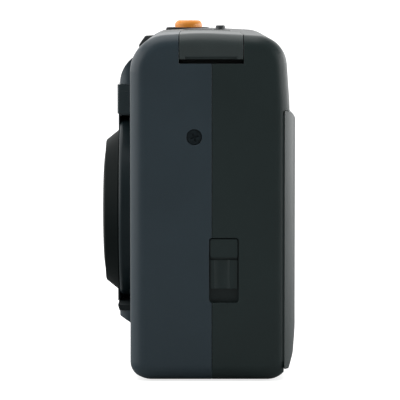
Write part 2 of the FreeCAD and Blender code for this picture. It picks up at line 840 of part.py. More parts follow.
def make_chassis():
    """The inner mouldings side by side: battery tube, spool chamber, film gate and cassette chamber."""
    form = body_form(wall + inside_gap).common(box(-80, 80, -40, deck_y, 0, chassis_top_z))
    front_bay = box(lens_x - 17.5, cassette_x - cassette_radius - 1.4, -40, shutter_seat_y, 9.0, 80)
    corner_relief = box(-80, -57.6, 4.0, 30, 56.0, 80)
    cassette = rod(cassette_x, cassette_y, chamber_z0, cassette_radius, chamber_z1 - chamber_z0)
    cassette_mouth = box(
        cassette_x - cassette_radius, cassette_x + cassette_radius - 0.4, cassette_y, 30,
        chamber_z0, chamber_z1,
    )
    spool_room = rod(spool_x, spool_y, chamber_z0, spool_chamber_radius, chamber_z1 - chamber_z0)
    spool_mouth = box(
        spool_x - spool_chamber_radius + 1.5, sprocket_x, spool_y, 30, chamber_z0, chamber_z1,
    )
    sprocket_room = rod(sprocket_x, sprocket_y, chamber_z0, 5.4, chamber_z1 - chamber_z0)
    sprocket_mouth = box(sprocket_x - 5.4, sprocket_x + 4.2, sprocket_y, 30, chamber_z0, chamber_z1)
    battery = rod(battery_x, battery_y, 0, battery_radius, battery_length + wall)
    latch_room = box(half_width - wall - 4.0, 80, latch_y0 - 1.0, 30, 5.0, 42.0)
    gear_top = gear_z0 + gear_thick + 0.2
    gear_room = [
        rod(spool_x, spool_y, 0, gear_module * spool_teeth / 2 + 1.2, gear_top),
        rod(sprocket_x, sprocket_y, 0, gear_module * sprocket_teeth / 2 + 1.0, gear_top),
        rod(*idler_place(), 0, gear_module * idler_teeth / 2 + 1.2, gear_top),
        rod(*idler_place(), 2, 1.4, gear_top - 0.7),
    ]
    shafts = [
        rod(spool_x, spool_y, 2, 2.2, 6),
        rod(sprocket_x, sprocket_y, 2, 1.4, 6),
        rod(cassette_x, cassette_y, 3.5, 2.4, 6),
        rod(spool_x, spool_y, 50, motor_radius + 0.02, 10),
        rod(sprocket_x, sprocket_y, chamber_z1 - 1, 1.2, 2.2),
    ]
    door_ridge_room = cut(
        box(opening_x0, opening_x1, door_seat_y - 1.4, 40, opening_z0, opening_z1),
        box(opening_x0 + 2, opening_x1 - 2, 0, 41, opening_z0 + 2, opening_z1 - 2),
    )
    solid = cut(
        form, front_bay, corner_relief, cassette, cassette_mouth, spool_room, spool_mouth,
        sprocket_room, sprocket_mouth, battery, latch_room, gate_cone(), door_ridge_room,
        tunnel_form(tunnel_wall + fit, front_y + 0.05, back_y - wall - 0.05),
        *cassette_contact_pads(fit / 2),
        rod(0, 0, -1, socket_radius + fit / 2, socket_depth + 1.1),
        *gear_room, *shafts,
    )
    posts = [rod(x, y, chassis_top_z - 1, 1.8, board_z - chassis_top_z + 1) for x, y in board_posts_at]
    holes = [rod(x, y, 2.0, 0.9, 6) for x, y in base_screws_at]
    holes += [rod(half_width - 8 if left else -half_width + 1, y, z, 0.8, 7, "x")
              for y, z, left in end_screws_at]
    whole = cut(fuse(solid, *posts), *holes)
    half_gap = chassis_joint_gap / 2
    blocks = []
    for x0, x1 in zip(chassis_joints[:-1], chassis_joints[1:]):
        blocks.append(whole.common(box(x0 + half_gap, x1 - half_gap, -40, 40, -5, height + 5)))
    return blocks


def make_film_rails():
    """The bright gate frame: two inner rails and two outer guides."""
    plate = slab(
        lens_x - 23.0, lens_x + 23.5, deck_y, deck_y + 0.25, lens_z - 19.4, lens_z + 19.4, 1.0, "y",
    )
    hole = box(
        lens_x - gate_half_width, lens_x + gate_half_width, 0, 40,
        lens_z - gate_half_height, lens_z + gate_half_height,
    )
    parts = [plate]
    for side in (-1, 1):
        inner = lens_z + side * (gate_half_height + 1.4)
        outer = lens_z + side * (film_half_height + 0.9)
        x0 = lens_x - 22
        x1 = lens_x + 22
        parts.append(slab(x0, x1, deck_y, film_y - 0.05, inner - 0.8, inner + 0.8, 0.5, "y"))
        parts.append(slab(x0, x1, deck_y, film_y + rail_rise, outer - 0.7, outer + 0.7, 0.5, "y"))
    frame = fuse(*parts)
    relief = rod(sprocket_x, sprocket_y, 0, 5.4, 60)
    relief_mouth = box(-60, sprocket_x + 4.4, sprocket_y, 30, 0, 60)
    return cut(frame, hole, relief, relief_mouth)


def make_takeup_spool():
    """The take-up spool: a slotted drum that turns round the motor."""
    z0 = chamber_z0 + chamber_floor_gap
    z1 = chamber_z1 - chamber_roof_gap
    profile = [
        (1.9, gear_z0 + gear_thick), (1.9, z0), (7.4, z0), (7.4, z0 + 1.0), (spool_radius, z0 + 1.4),
        (spool_radius, z1 - 1.4), (7.4, z1 - 1.0), (7.4, z1), (spool_bore, z1), (spool_bore, z0 + 3.0),
        (0, z0 + 3.0), (0, gear_z0 + gear_thick),
    ]
    drum = turned_z(profile, spool_x, spool_y)
    slots = []
    for index in range(3):
        slot = box(spool_bore - 1, spool_radius + 2, -0.9, 0.9, lens_z - 14, lens_z + 14)
        slot.rotate(Vector(0, 0, 0), Vector(0, 0, 1), 120 * index + 40)
        slot.translate(Vector(spool_x, spool_y, 0))
        slots.append(slot)
    return fuse(cut(drum, *slots), gear(spool_x, spool_y, spool_teeth, 0.0))


def make_film_sprocket():
    """The toothed sprocket that counts the film's holes, on its shaft."""
    radius = film_hole_pitch * film_teeth / (2 * math.pi) - 0.25
    z0 = chamber_z0 + chamber_floor_gap
    z1 = chamber_z1 - chamber_roof_gap
    gear_top = gear_z0 + gear_thick
    low = (lens_z - 17.2, lens_z - 12.6)
    high = (lens_z + 12.6, lens_z + 17.2)
    profile = [
        (0, gear_top), (1.2, gear_top), (1.2, z0), (1.6, z0),
        (1.6, low[0]), (radius, low[0]), (radius, low[1]), (2.4, low[1]),
        (2.4, high[0]), (radius, high[0]), (radius, high[1]), (1.6, high[1]),
        (1.6, z1), (1.0, z1), (1.0, z1 + 1.2), (0, z1 + 1.2),
    ]
    shaft = turned_z(profile, sprocket_x, sprocket_y)
    teeth = []
    for index in range(film_teeth):
        for z in (lens_z - 14.2, lens_z + 14.2):
            tooth = Part.makeWedge(0, -0.95, -0.9, 0.25, -0.35, 1.3, 0.95, 0.9, 0.25, 0.35)
            tooth.rotate(Vector(0, 0, 0), Vector(0, 0, 1), -90)
            tooth.translate(Vector(radius - 0.35, 0, z))
            tooth.rotate(Vector(0, 0, 0), Vector(0, 0, 1), 360 / film_teeth * index)
            tooth.translate(Vector(sprocket_x, sprocket_y, 0))
            teeth.append(tooth)
    wheel = gear(sprocket_x, sprocket_y, sprocket_teeth, sprocket_gear_angle())
    return fuse(shaft, wheel, *teeth)


def make_motor():
    """The film motor, a can that stands inside the spool."""
    can = rod(spool_x, spool_y, 24.0, motor_radius, chassis_top_z - 24.0)
    boss = rod(spool_x, spool_y, 22.6, 1.6, 2)
    flange = rod(spool_x, spool_y, chassis_top_z, 6.6, 1.0)
    tags = []
    for x in (spool_x - 2.4, spool_x + 2.4):
        tags.append(box(x - 0.4, x + 0.4, spool_y - 0.9, spool_y + 0.9, chassis_top_z, chassis_top_z + 3))
    return fuse(can, boss, flange, *tags)


def make_rewind_fork():
    """The rewind fork: a disc with two prongs on its shaft."""
    z0 = chamber_z0 + chamber_floor_gap
    profile = [
        (0, 3.8), (2.2, 3.8), (2.2, z0), (5.6, z0), (5.6, z0 + 0.9), (3.0, z0 + 1.3), (3.0, z0 + 3.2),
        (0, z0 + 3.2),
    ]
    shaft = turned_z(profile, cassette_x, cassette_y)
    prongs = []
    for x in (cassette_x - 2.1, cassette_x + 2.1):
        prongs.append(box(x - 0.7, x + 0.7, cassette_y - 0.6, cassette_y + 0.6, z0 + 3, z0 + 5.6))
    return fuse(shaft, *prongs)


def cassette_contact_pads(grow):
    """The row of contacts that read the cassette's code, standing in the chamber wall."""
    pads = []
    x = cassette_x - cassette_radius
    for index in range(6):
        z = 17.0 + 4.6 * index
        pads.append(
            slab(
                x - 0.9 - grow, x + 0.35, cassette_y - 1.1 - grow, cassette_y + 1.1 + grow,
                z - grow, z + 2.4 + grow, 0.4, "x",
            )
        )
    return pads


def make_cassette_spring():
    """The leaf that steadies the cassette, lying on the chamber's front wall."""
    arc_out = rod(cassette_x, cassette_y, 20, cassette_radius - 0.02, 20)
    arc_in = rod(cassette_x, cassette_y, 19, cassette_radius - 0.4, 22)
    sector = box(cassette_x - 4, cassette_x + 4, cassette_y - 20, cassette_y - 5, 19, 41)
    return cut(arc_out, arc_in).common(sector)


def make_base_ring():
    """The round platform that the lens cone stands on."""
    ring = rod(lens_x, ring_front_y, ring_z, ring_radius, front_y - ring_front_y, "y")
    ring = soften(ring, ring_edge_round, edges_at("y", ring_front_y))
    return ring.cut(rod(lens_x, -40, lens_z, front_bore, 60, "y"))


def make_lens_cone():
    """The conical front of the lens, a shell with a seat for its front plate."""
    seat_y = cone_front_y + 0.95
    profile = [
        (cone_radius, ring_front_y), (cone_radius, ring_front_y - cone_step),
        (cone_front_radius, cone_front_y + 0.12), (cone_front_radius - 0.25, cone_front_y),
        (plate_radius, cone_front_y), (plate_radius, seat_y), (plate_radius - 0.8, seat_y),
        (plate_radius - 0.8, seat_y + 0.3), (plate_radius + 0.3, seat_y + 0.3),
        (front_bore + 0.2, ring_front_y - 0.3), (front_bore + 0.2, ring_front_y),
    ]
    return turned_y(profile, lens_x, lens_z)



def make_front_plate():
    """The shallow dome in the cone's mouth, dished towards the lens opening."""
    rim = Vector(lens_x + plate_radius - 0.03, cone_front_y, 0)
    lip = Vector(lens_x + 9.0, cone_front_y - dome_rise, 0)
    bow = Vector(lens_x + 11.9, cone_front_y - dome_rise * 0.74, 0)
    mouth = Vector(lens_x + lens_mouth_radius, cone_front_y + 0.5, 0)
    back_mouth = Vector(lens_x + lens_mouth_radius, cone_front_y + 0.93, 0)
    back_rim = Vector(lens_x + plate_radius - 0.03, cone_front_y + 0.93, 0)
    edges = [
        Part.Arc(rim, bow, lip).toShape(),
        Part.LineSegment(lip, mouth).toShape(),
        Part.LineSegment(mouth, back_mouth).toShape(),
        Part.LineSegment(back_mouth, back_rim).toShape(),
        Part.LineSegment(back_rim, rim).toShape(),
    ]
    face = Part.Face(Part.Wire(edges))
    face.translate(Vector(0, 0, lens_z))
    return face.revolve(Vector(lens_x, 0, lens_z), Vector(0, 1, 0), 360)


def make_barrier_blade(up):
    """One half of the lens cover, a half disc that slides away from the middle."""
    disc = rod(lens_x, blade_front_y, lens_z, lens_mouth_radius + 0.9, blade_thick, "y")
    if up:
        half = box(lens_x - 20, lens_x + 20, -40, 0, lens_z + blade_gap / 2, lens_z + 20)
    else:
        half = box(lens_x - 20, lens_x + 20, -40, 0, lens_z - 20, lens_z - blade_gap / 2)
    blade = disc.common(half)
    ears = box(
        lens_x - lens_mouth_radius - 2.2, lens_x + lens_mouth_radius + 2.2,
        blade_front_y, blade_front_y + blade_thick, lens_z - 1.8, lens_z + 1.8,
    ).common(half)
    return fuse(blade, ears)


def make_barrier_plate():
    """The plate that the lens cover's blades slide on, with its skirt in the base ring's bore."""
    y0 = blade_front_y + blade_thick + blade_gap
    plate = ring_y(lens_x, lens_z, plate_radius + 0.4, lens_mouth_radius + 0.2, y0, y0 + 0.6)
    neck = ring_y(lens_x, lens_z, plate_radius + 0.4, plate_radius - 0.6, y0, ring_front_y + 1.0)
    skirt_y = ring_front_y + 0.1
    skirt = ring_y(lens_x, lens_z, front_bore - fit, plate_radius - 0.6, skirt_y, skirt_y + 1.5)
    return fuse(plate, neck, skirt)


def make_lens_barrel():
    """The fixed barrel with its flange, in which the lens cell moves."""
    tube = barrel_bore + 2.5
    flange = front_bore - 0.2
    profile = [
        (tube, barrel_front_y), (tube, barrel_back_y - 1.0), (flange, barrel_back_y - 1.0),
        (flange, barrel_back_y), (barrel_bore, barrel_back_y), (barrel_bore, barrel_front_y + 0.8),
        (barrel_bore + 0.7, barrel_front_y),
    ]
    return turned_y(profile, lens_x, lens_z)


def make_lens_cell():
    """The moving cell that holds both lenses."""
    front_seat = front_lens_radius + 0.05
    rear_seat = rear_lens_radius + 0.05
    profile = [
        (cell_radius, cell_front_y), (cell_radius, cell_back_y), (rear_seat, cell_back_y),
        (rear_seat, cell_back_y - 1.2), (rear_seat - 0.4, cell_back_y - 1.2),
        (rear_seat - 0.4, cell_back_y - 2.4), (front_seat - 0.65, cell_front_y + 4.2),
        (front_seat - 0.65, cell_front_y + 3.8), (front_seat, cell_front_y + 3.8),
        (front_seat, cell_front_y + 1.1), (cell_radius - 0.98, cell_front_y),
    ]
    return turned_y(profile, lens_x, lens_z)


def lens_solid(radius, edge_front, edge_back, front_rise, back_rise):
    """A round lens with ball-shaped faces; a negative rise at the back is a hollow."""
    front_ball = (radius ** 2 + front_rise ** 2) / (2 * front_rise)
    back_ball = (radius ** 2 + back_rise ** 2) / (2 * abs(back_rise))
    front_tip = edge_front - front_rise
    back_tip = edge_back + back_rise
    blank = rod(lens_x, front_tip - 1, lens_z, radius, edge_back - front_tip + 2, "y")
    blank = blank.common(Part.makeSphere(front_ball, Vector(lens_x, front_tip + front_ball, lens_z)))
    if back_rise > 0:
        return blank.common(Part.makeSphere(back_ball, Vector(lens_x, back_tip - back_ball, lens_z)))
    hollow = Part.makeSphere(back_ball, Vector(lens_x, back_tip + back_ball, lens_z))
    rear_cut = box(lens_x - 20, lens_x + 20, edge_back, edge_back + 20, lens_z - 20, lens_z + 20)
    return cut(blank, hollow, rear_cut)


def make_front_element():
    """The front lens."""
    return lens_solid(front_lens_radius, cell_front_y + 1.8, cell_front_y + 3.7, 1.4, -0.6)


def make_rear_element():
    """The rear lens."""
    return lens_solid(rear_lens_radius, cell_back_y - 1.1, cell_back_y - 0.1, 0.3, 0.5)


def make_shutter_plate():
    """The shutter's mount: a disc with the aperture and a spacer rim."""
    outer = front_bore - 0.2
    face_y = barrel_back_y + 0.7
    disc = ring_y(lens_x, lens_z, outer, 5.0, barrel_back_y, face_y)
    rim = ring_y(lens_x, lens_z, outer, outer - 0.9, face_y, shutter_seat_y)
    pins = [
        rod(lens_x + side * shutter_pin_aside, face_y - 0.1, lens_z - shutter_pin_drop, 0.6, 1.1, "y")
        for side in (-1, 1)
    ]
    return fuse(disc, rim, *pins)


def make_shutter_blade(left):
    """One shutter blade: a half disc over the aperture with an arm to its pin."""
    side = -1 if left else 1
    y0 = barrel_back_y + (0.8 if left else 1.2)
    middle = lens_x - side * 0.6
    outside = lens_x + side * 10
    disc = rod(lens_x, y0, lens_z, 5.7, shutter_leaf, "y")
    keep = box(min(middle, outside), max(middle, outside), -10, 0, lens_z - 10, lens_z + 10)
    pin_x = lens_x + side * shutter_pin_aside
    pin_z = lens_z - shutter_pin_drop
    eye = rod(pin_x, y0, pin_z, 1.5, shutter_leaf, "y")
    arm = box(pin_x - 1.2, pin_x + 1.2, y0, y0 + shutter_leaf, pin_z, lens_z - 4.0)
    return cut(fuse(disc.common(keep), eye, arm), rod(pin_x, -10, pin_z, 0.65, 10, "y"))


def panel_blank(front, low, high):
    """The dark front block between two heights, with its base ring cut away."""
    x0 = lens_x - panel_half_width
    x1 = lens_x + panel_half_width
    plan = [(x0, front_y, 0), (x0, front, 0.5), (x1, front, 0.5), (x1, front_y, 0)]
    block = prism(plan, low, high)
    return block.cut(rod(lens_x, -40, ring_z, ring_radius + fit, 60, "y"))


def make_finder_panel():
    """The dark window panel above the lens, with the finder and focus windows."""
    x, z, width, tall = finder_front()
    panel = panel_blank(panel_front_y, ring_z + ring_radius - 9.0, panel_top_z - 0.02)
    finder = slab(x - width / 2, x + width / 2, -40, 0, z - tall / 2, z + tall / 2, 0.8, "y")
    tools = [finder]
    for side in (-1, 1):
        tools.append(rod(lens_x + side * 11.6, -40, z, 2.0, 60, "y"))
    return cut(panel, *tools)


def make_lower_bezel():
    """The dark block under the lens, its lower front edge rolled under."""
    block = panel_blank(bezel_front_y, panel_base_z + 0.02, ring_z - ring_radius + 9.0)
    corners = [
        (front_y + 1, panel_base_z - 1, 0),
        (bezel_front_y + 0.9, panel_base_z - 1, 0),
        (bezel_front_y, panel_base_z + 1.9, 9.0),
        (bezel_front_y, ring_z, 0),
        (front_y + 1, ring_z, 0),
    ]
    return block.common(prism(corners, -40, 60, "x"))


def make_finder_window():
    """The finder's front pane."""
    x, z, width, tall = finder_front()
    return slab(
        x - width / 2 + 0.03, x + width / 2 - 0.03, panel_front_y + 0.35, panel_front_y + 1.6,
        z - tall / 2 + 0.03, z + tall / 2 - 0.03, 0.78, "y",
    )


def make_focus_windows():
    """The two round lenses of the focus sensor."""
    z = finder_front()[1]
    return [rod(lens_x + side * 11.6, panel_front_y + 0.3, z, 1.97, 2.2, "y") for side in (-1, 1)]


def tunnel_form(grow, y_front, y_back):
    """The tapered form from the finder's pane to its eyepiece, grown all round."""
    polygons = []
    for (x, z, width, tall), y in ((finder_front(), y_front), (eyepiece(), y_back)):
        half = width / 2 + grow
        low = z - tall / 2 - grow
        high = z + tall / 2 + grow
        around = ((-half, low), (half, low), (half, high), (-half, high), (-half, low))
        polygons.append(Part.makePolygon([Vector(x + aside, y, v) for aside, v in around]))
    return Part.makeLoft(polygons, True, True)


def make_finder_tunnel():
    """The finder's light tunnel, a tapered box from the front pane to the eyepiece."""
    y_front = front_y + 0.05
    y_back = back_y - wall - 0.05
    return cut(tunnel_form(tunnel_wall, y_front, y_back), tunnel_form(0, y_front, y_back))


def make_eyepiece_frame():
    """The soft frame round the eyepiece."""
    x, z, width, tall = eyepiece()
    outer = slab(
        x - width / 2 - 1.4, x + width / 2 + 1.4, back_y - wall, back_y + 0.7,
        z - tall / 2 - 0.9, z + tall / 2 + 0.9, 1.1, "y",
    )
    outer = soften(outer, 0.35, edges_at("y", back_y + 0.7))
    return cut(outer, slab(x - width / 2, x + width / 2, 0, 40, z - tall / 2, z + tall / 2, 0.6, "y"))


def make_eyepiece_lens():
    """The eyepiece pane."""
    x, z, width, tall = eyepiece()
    return slab(
        x - width / 2 + 0.02, x + width / 2 - 0.02, back_y - wall, back_y - wall + 1.2,
        z - tall / 2 + 0.02, z + tall / 2 - 0.02, 0.58, "y",
    )


def make_ready_lamp():
    """The flash-ready lamp beside the eyepiece."""
    z = eyepiece()[1]
    stem = rod(lens_x + 13, back_y - 2.6, z, 1.25, 2.7, "y")
    return fuse(stem, rod(lens_x + 13, back_y - 3.6, z, 1.8, 1.2, "y"))


def make_top_plate():
    """The inset top plate with openings for the buttons and the counter."""
    plate = body_form(0).common(plate_outline(0, height - plate_thick, height + 5))
    tools = [
        oval(button_x, button_y, button_length + 0.6, button_width + 0.6, height - 5, height + 5),
        rod(mode_x, mode_y, height - 5, mode_radius + 0.3, 10),
        counter_outline(fit / 2, height - 5, height + 5),
    ]
    return cut(plate, *tools)


def counter_outline(grow, z0, z1):
    """The plan of the frame counter's window."""
    return slab(-20.0 - grow, -6.0 + grow, -4.0 - grow, 7.0 + grow, z0, z1, 1.5 + grow)


def make_counter_window():
    """The clear window over the frame counter."""
    pane = body_form(0.08).common(counter_outline(0, height - plate_thick, height + 5))
    return pane


def make_counter_display():
    """The counter's display under its window."""
    return box(-21.0, -5.0, -5.0, 8.0, height - plate_thick - 1.4, height - plate_thick - 0.02)


def make_release_collar():
    """The dark collar round the shutter release."""
    solid = oval(button_x, button_y - 0.25, collar_length, collar_width, height - 0.35, collar_top_z)
    solid = soften(solid, 0.3, edges_at("z", collar_top_z))
    solid = solid.cut(body_form(0))
    length = button_length + 2 * running_gap
    width = button_width + 2 * running_gap
    return solid.cut(oval(button_x, button_y, length, width, height - 5, height + 5))


def button_flange_z():
    """The top of the flange that holds a button under the top plate."""
    return height - plate_thick - fit


def make_shutter_release():
    """The orange shutter release, its flange caught under the top plate."""
    z = button_flange_z()
    cap = oval(button_x, button_y, button_length, button_width, z - 0.2, button_top_z)
    cap = soften(cap, 1.1, edges_at("z", button_top_z))
    return fuse(cap, oval(button_x, button_y, button_length + 1.8, button_width + 1.8, z - 0.9, z))


def make_board_switches():
    """The switches on the board under the shutter release and the second button."""
    z = board_z + board_thick
    return [
        box(button_x - 3, button_x + 3, button_y - 3, button_y + 3, z, z + release_switch_tall),
        box(mode_x - 2.2, mode_x + 2.2, mode_y - 2.2, mode_y + 2.2, z, z + 1.0),
    ]


def make_release_spring():
    """The spring that lifts the shutter release, a bowed steel strip on its switch."""
    z = board_z + board_thick + release_switch_tall
    return bowed_strip(button_x, button_y, z, 5.8, 2.4, 0.35, 0.15)


def make_mode_button():
    """The small second button, its flange caught under the top plate."""
    z = button_flange_z()
    cap = rod(mode_x, mode_y, z - 0.2, mode_radius, mode_top_z - z + 0.2)
    cap = soften(cap, 0.3, edges_at("z", mode_top_z))
    flange = rod(mode_x, mode_y, z - 0.9, mode_radius + 0.8, 0.9)
    stem = rod(mode_x, mode_y, board_z + board_thick + 1.8, 0.7, z - 0.5 - board_z - board_thick - 1.8)
    return fuse(cap, flange, stem)


def make_circuit_board():
    """The main circuit board on the chassis posts."""
    board = slab(-half_width + 6.8, 11.5, -10.2, 14.0, board_z, board_z + board_thick, 2.0)
    holes = [rod(x, y, board_z - 1, 0.8, board_thick + 2) for x, y in board_posts_at]
    return cut(board, *holes)


def make_flash_case():
    """The flash head: the lid in the camera's corner with the lamp box under it."""
    lid = body_form(0, True).common(flash_opening(0))
    slope_gap = 0.05
    deep = slab(
        flash_box_x0, flash_box_x1, flash_y0 + slope_gap, flash_y1 - slope_gap,
        flash_box_z0, flash_lip_z + 2, 1.0, "y",
    )
    solid = fuse(lid, deep)
    lamp_room = box(
        flash_box_x0 + 1.6, flash_box_x1 - 1.6, flash_y0 - 1, flash_y1 - 2.0,
        flash_box_z0 + 1.2, height - 1.6,
    )
    bore = rod(flash_hinge_x(), -20, flash_hinge_z(), flash_pin_radius + 0.05, 40, "y")
    lip_length = flash_y1 - flash_y0 - 2.4
    finger_lip = rod(half_width + 0.6, flash_y0 + 1.2, flash_lip_z - 0.6, 1.3, lip_length, "y")
    return cut(solid, lamp_room, bore, finger_lip)


def make_flash_window():
    """The ribbed clear window of the flash."""
    x0 = flash_box_x0 + 1.65
    x1 = flash_box_x1 - 1.65
    z0 = flash_box_z0 + 1.25
    z1 = height - 1.65
    pane = box(x0, x1, flash_y0 + 0.1, flash_y0 + 1.3, z0, z1)
    ribs = []
    for index in range(13):
        x = x0 + 1.2 + 2.0 * index
        ribs.append(box(x, x + 0.8, flash_y0 + 1.3, flash_y0 + 1.6, z0 + 1, z1 - 1))
    return fuse(pane, *ribs)


def make_flash_reflector():
    """The bright trough behind the flash tube."""
    x0 = flash_box_x0 + 2.0
    x1 = flash_box_x1 - 2.0
    z_mid = (flash_box_z0 + 1.2 + height - 1.6) / 2
    half = (height - 1.6 - flash_box_z0 - 1.2) / 2 - 0.05
    y_back = flash_y1 - 2.02
    y_front = flash_y0 + 1.7
    outer = [
        (y_front, z_mid - half, 0), (y_back - 1.2, z_mid - half, 2.5), (y_back, z_mid, 1.0),
        (y_back - 1.2, z_mid + half, 2.5), (y_front, z_mid + half, 0),
    ]
    inner = [
        (y_front - 1, z_mid - half + 0.4, 0), (y_back - 1.6, z_mid - half + 0.4, 2.1),
        (y_back - 0.5, z_mid, 0.6), (y_back - 1.6, z_mid + half - 0.4, 2.1),
        (y_front - 1, z_mid + half - 0.4, 0),
    ]
    return cut(prism(outer, x0, x1, "x"), prism(inner, x0 + 0.4, x1 - 0.4, "x"))


def make_flash_tube():
    """The flash tube across the reflector."""
    z_mid = (flash_box_z0 + 1.2 + height - 1.6) / 2
    return rod(flash_box_x0 + 2.4, flash_y1 - 5.0, z_mid, 1.3, flash_box_x1 - flash_box_x0 - 4.8, "x")


def make_flash_bracket():
    """The steel bracket whose two ears carry the flash head's pin."""
    x = flash_hinge_x()
    z = flash_hinge_z()
    y0 = flash_y0 - flash_gap - 1.4
    y1 = flash_y1 + flash_gap + 1.4
    base = box(x - 2.4, x + 2.4, y0, y1, chassis_top_z, chassis_top_z + 0.8)
    parts = [base]
    for start in (y0, y1 - 0.8):
        parts.append(box(x - 2.0, x + 2.0, start, start + 0.8, chassis_top_z, z))
        ear = rod(x, start, z, 0.75 + flash_pin_radius, 0.8, "y")
        parts.append(ear.common(box(x - 2, x + 2, -40, 40, chassis_top_z, height - wall - 0.1)))
    solid = fuse(*parts)
    return cut(solid, rod(x, -30, z, flash_pin_radius + 0.01, 60, "y"))


def flash_pin(grow):
    """The pin through the flash head and its bracket, or the groove that holds it, larger by grow."""
    y0 = flash_y0 - flash_gap - 1.5 - grow
    y1 = flash_y1 + flash_gap + 1.5 + grow
    return rod(flash_hinge_x(), y0, flash_hinge_z(), flash_pin_radius + grow, y1 - y0, "y")


def make_flash_capacitor():
    """The flash capacitor beside the lens barrel."""
    z0 = 10.0
    tall = 34.0
    can = rod(capacitor_x, -7.8, z0, 4.2, tall)
    return soften(can, 0.6, edges_at("z", z0 + tall))


def make_latch_slider():
    """The film door's latch: a pad with a scooped thumb piece on a plate behind the left end."""
    inner = half_width - wall
    face = inner - fit
    plate_x = face - latch_thick
    y0 = latch_y0 + latch_edge_gap
    y1 = latch_y1 - latch_edge_gap
    thumb_z = latch_z0 + latch_travel + latch_edge_gap
    top = latch_z1 - latch_edge_gap
    hook_z = catch_z - catch_gap - hook_tall
    plate = box(
        plate_x, face, latch_y0 - 0.6, latch_y1 + 1.4, latch_z0 - 0.4, latch_z1 + latch_travel + 0.4,
    )
    arm = box(plate_x, face, latch_y1, latch_y1 + 1.4, hook_z, latch_z0)
    reach = box(plate_x, face, latch_y1, deck_y + 1.2, hook_z, hook_z + hook_tall)
    hook_y = deck_y - 1.2
    hook = box(inner - 3.6, face, hook_y, hook_y + hook_deep, hook_z, hook_z + hook_tall)
    base = slab(inner - 0.5, half_width - latch_groove - thumb_sink, y0, y1, thumb_z, top, 0.4, "x")
    pad = slab(inner - 0.5, half_width - latch_pad_sink, y0, y1, latch_pad_z, top, 0.4, "x")
    thumb = slab(
        inner - 0.5, half_width - thumb_sink, y0, y1, thumb_z, latch_pad_z - latch_groove, 0.2, "x",
    )
    scoop = rod(half_width + 2.6, (y0 + y1) / 2 - 0.4, thumb_z - 1, 3.45, latch_pad_z - thumb_z + 0.9)
    return fuse(plate, arm, reach, hook, base, pad, cut(thumb, scoop))


def battery_hinge_x():
    """Where the battery door's pins lie along the camera."""
    return battery_door_x1() - battery_hinge_radius()


def battery_hinge_radius():
    """The round of the hinged edge, which meets the base's face."""
    return battery_hinge_z


def battery_door_pins(grow):
    """The two pins at the tongue's corners, which the two covers trap between them."""
    x = battery_hinge_x()
    half = battery_tongue_half
    y0 = battery_y - half - battery_pin_length - grow
    length = battery_pin_length + grow
    return [
        rod(x, y0, battery_hinge_z, battery_pin_radius + grow, length, "y"),
        rod(x, battery_y + half, battery_hinge_z, battery_pin_radius + grow, length, "y"),
    ]


def make_battery_door():
    """The battery door in the base, turning on two pins at its inner edge."""
    under = box(-80, 80, -40, 40, -1, battery_door_thick)
    skin = body_form(0, True).common(battery_door_plan(0)).common(under)
    x = battery_hinge_x()
    corner = box(x, x + 5, -60, 60, -1, battery_hinge_z)
    corner = cut(corner, rod(x, -60, battery_hinge_z, battery_hinge_radius(), 120, "y"))
    groove_x = battery_door_x0() + 1.2
    nail_groove = box(groove_x, groove_x + 0.8, battery_y - 3.5, battery_y + 3.5, -1, 0.4)
    contact_pad = rod(battery_x, battery_y, battery_door_thick - 0.1, 5.0, 0.6)
    return fuse(cut(skin, corner, nail_groove), contact_pad, *battery_door_pins(0))


def bowed_strip(x, y, z, length, width, rise, thick):
    """A flat spring strip along X that bows upwards in its middle, its ends at a height."""
    start = Vector(x - length / 2, 0, z)
    middle = Vector(x, 0, z + rise)
    end = Vector(x + length / 2, 0, z)
    lift = Vector(0, 0, thick)
    edges = [
        Part.Arc(start, middle, end).toShape(),
        Part.LineSegment(end, end + lift).toShape(),
        Part.Arc(end + lift, middle + lift, start + lift).toShape(),
        Part.LineSegment(start + lift, start).toShape(),
    ]
    strip = Part.Face(Part.Wire(edges)).extrude(Vector(0, width, 0))
    strip.translate(Vector(0, y - width / 2, 0))
    return strip


def make_battery_contact():
    """The upper battery contact: a disc at the end of the tube with a bowed spring strip."""
    z = battery_length + wall - 0.4
    disc = rod(battery_x, battery_y, z, 5.5, 0.4)
    return fuse(disc, bowed_strip(battery_x, battery_y, z - 0.1, 9.0, 3.0, -1.5, 0.3))


def make_tripod_socket():
    """The brass bush of the tripod socket, its blind hole open at the base."""
    bush = rod(0, 0, 0, socket_radius, socket_depth)
    return cut(bush, rod(0, 0, -1, socket_bore, socket_hole_depth + 1))


def strap_bar(grow):
    """The steel bar across the strap recess."""
    return rod(-half_width + 1.5, strap_bar_y, height - 14.2, strap_bar_radius + grow, 10.4)


def make_end_screws():
    """The screws in the two ends, each with a cross recess."""
    screws = []
    for y, z, left in end_screws_at:
        side = 1 if left else -1
        face = side * (half_width - 0.3)
        head = rod(min(face, face - side * 0.6), y, z, 1.5, 0.6, "x")
        shank = rod(min(face - side * 0.6, face - side * 5), y, z, 0.75, 4.4, "x")
        slots = []
        for turn in (0, 90):
            slot = box(face - 0.5, face + 0.5, y - 1.0, y + 1.0, z - 0.2, z + 0.2)
            slot.rotate(Vector(0, y, z), Vector(1, 0, 0), turn + 20)
            slots.append(slot)
        screws.append(cut(fuse(head, shank), *slots))
    return screws


def make_base_screws():
    """The screws in the base."""
    screws = []
    for x, y in base_screws_at:
        head = rod(x, y, 0.15, 1.7, 0.6)
        shank = rod(x, y, 0.75, 0.85, 4.4)
        cross = [
            box(x - 1.1, x + 1.1, y - 0.22, y + 0.22, -1, 0.45),
            box(x - 0.22, x + 0.22, y - 1.1, y + 1.1, -1, 0.45),
        ]
        screws.append(cut(fuse(head, shank), *cross))
    return screws


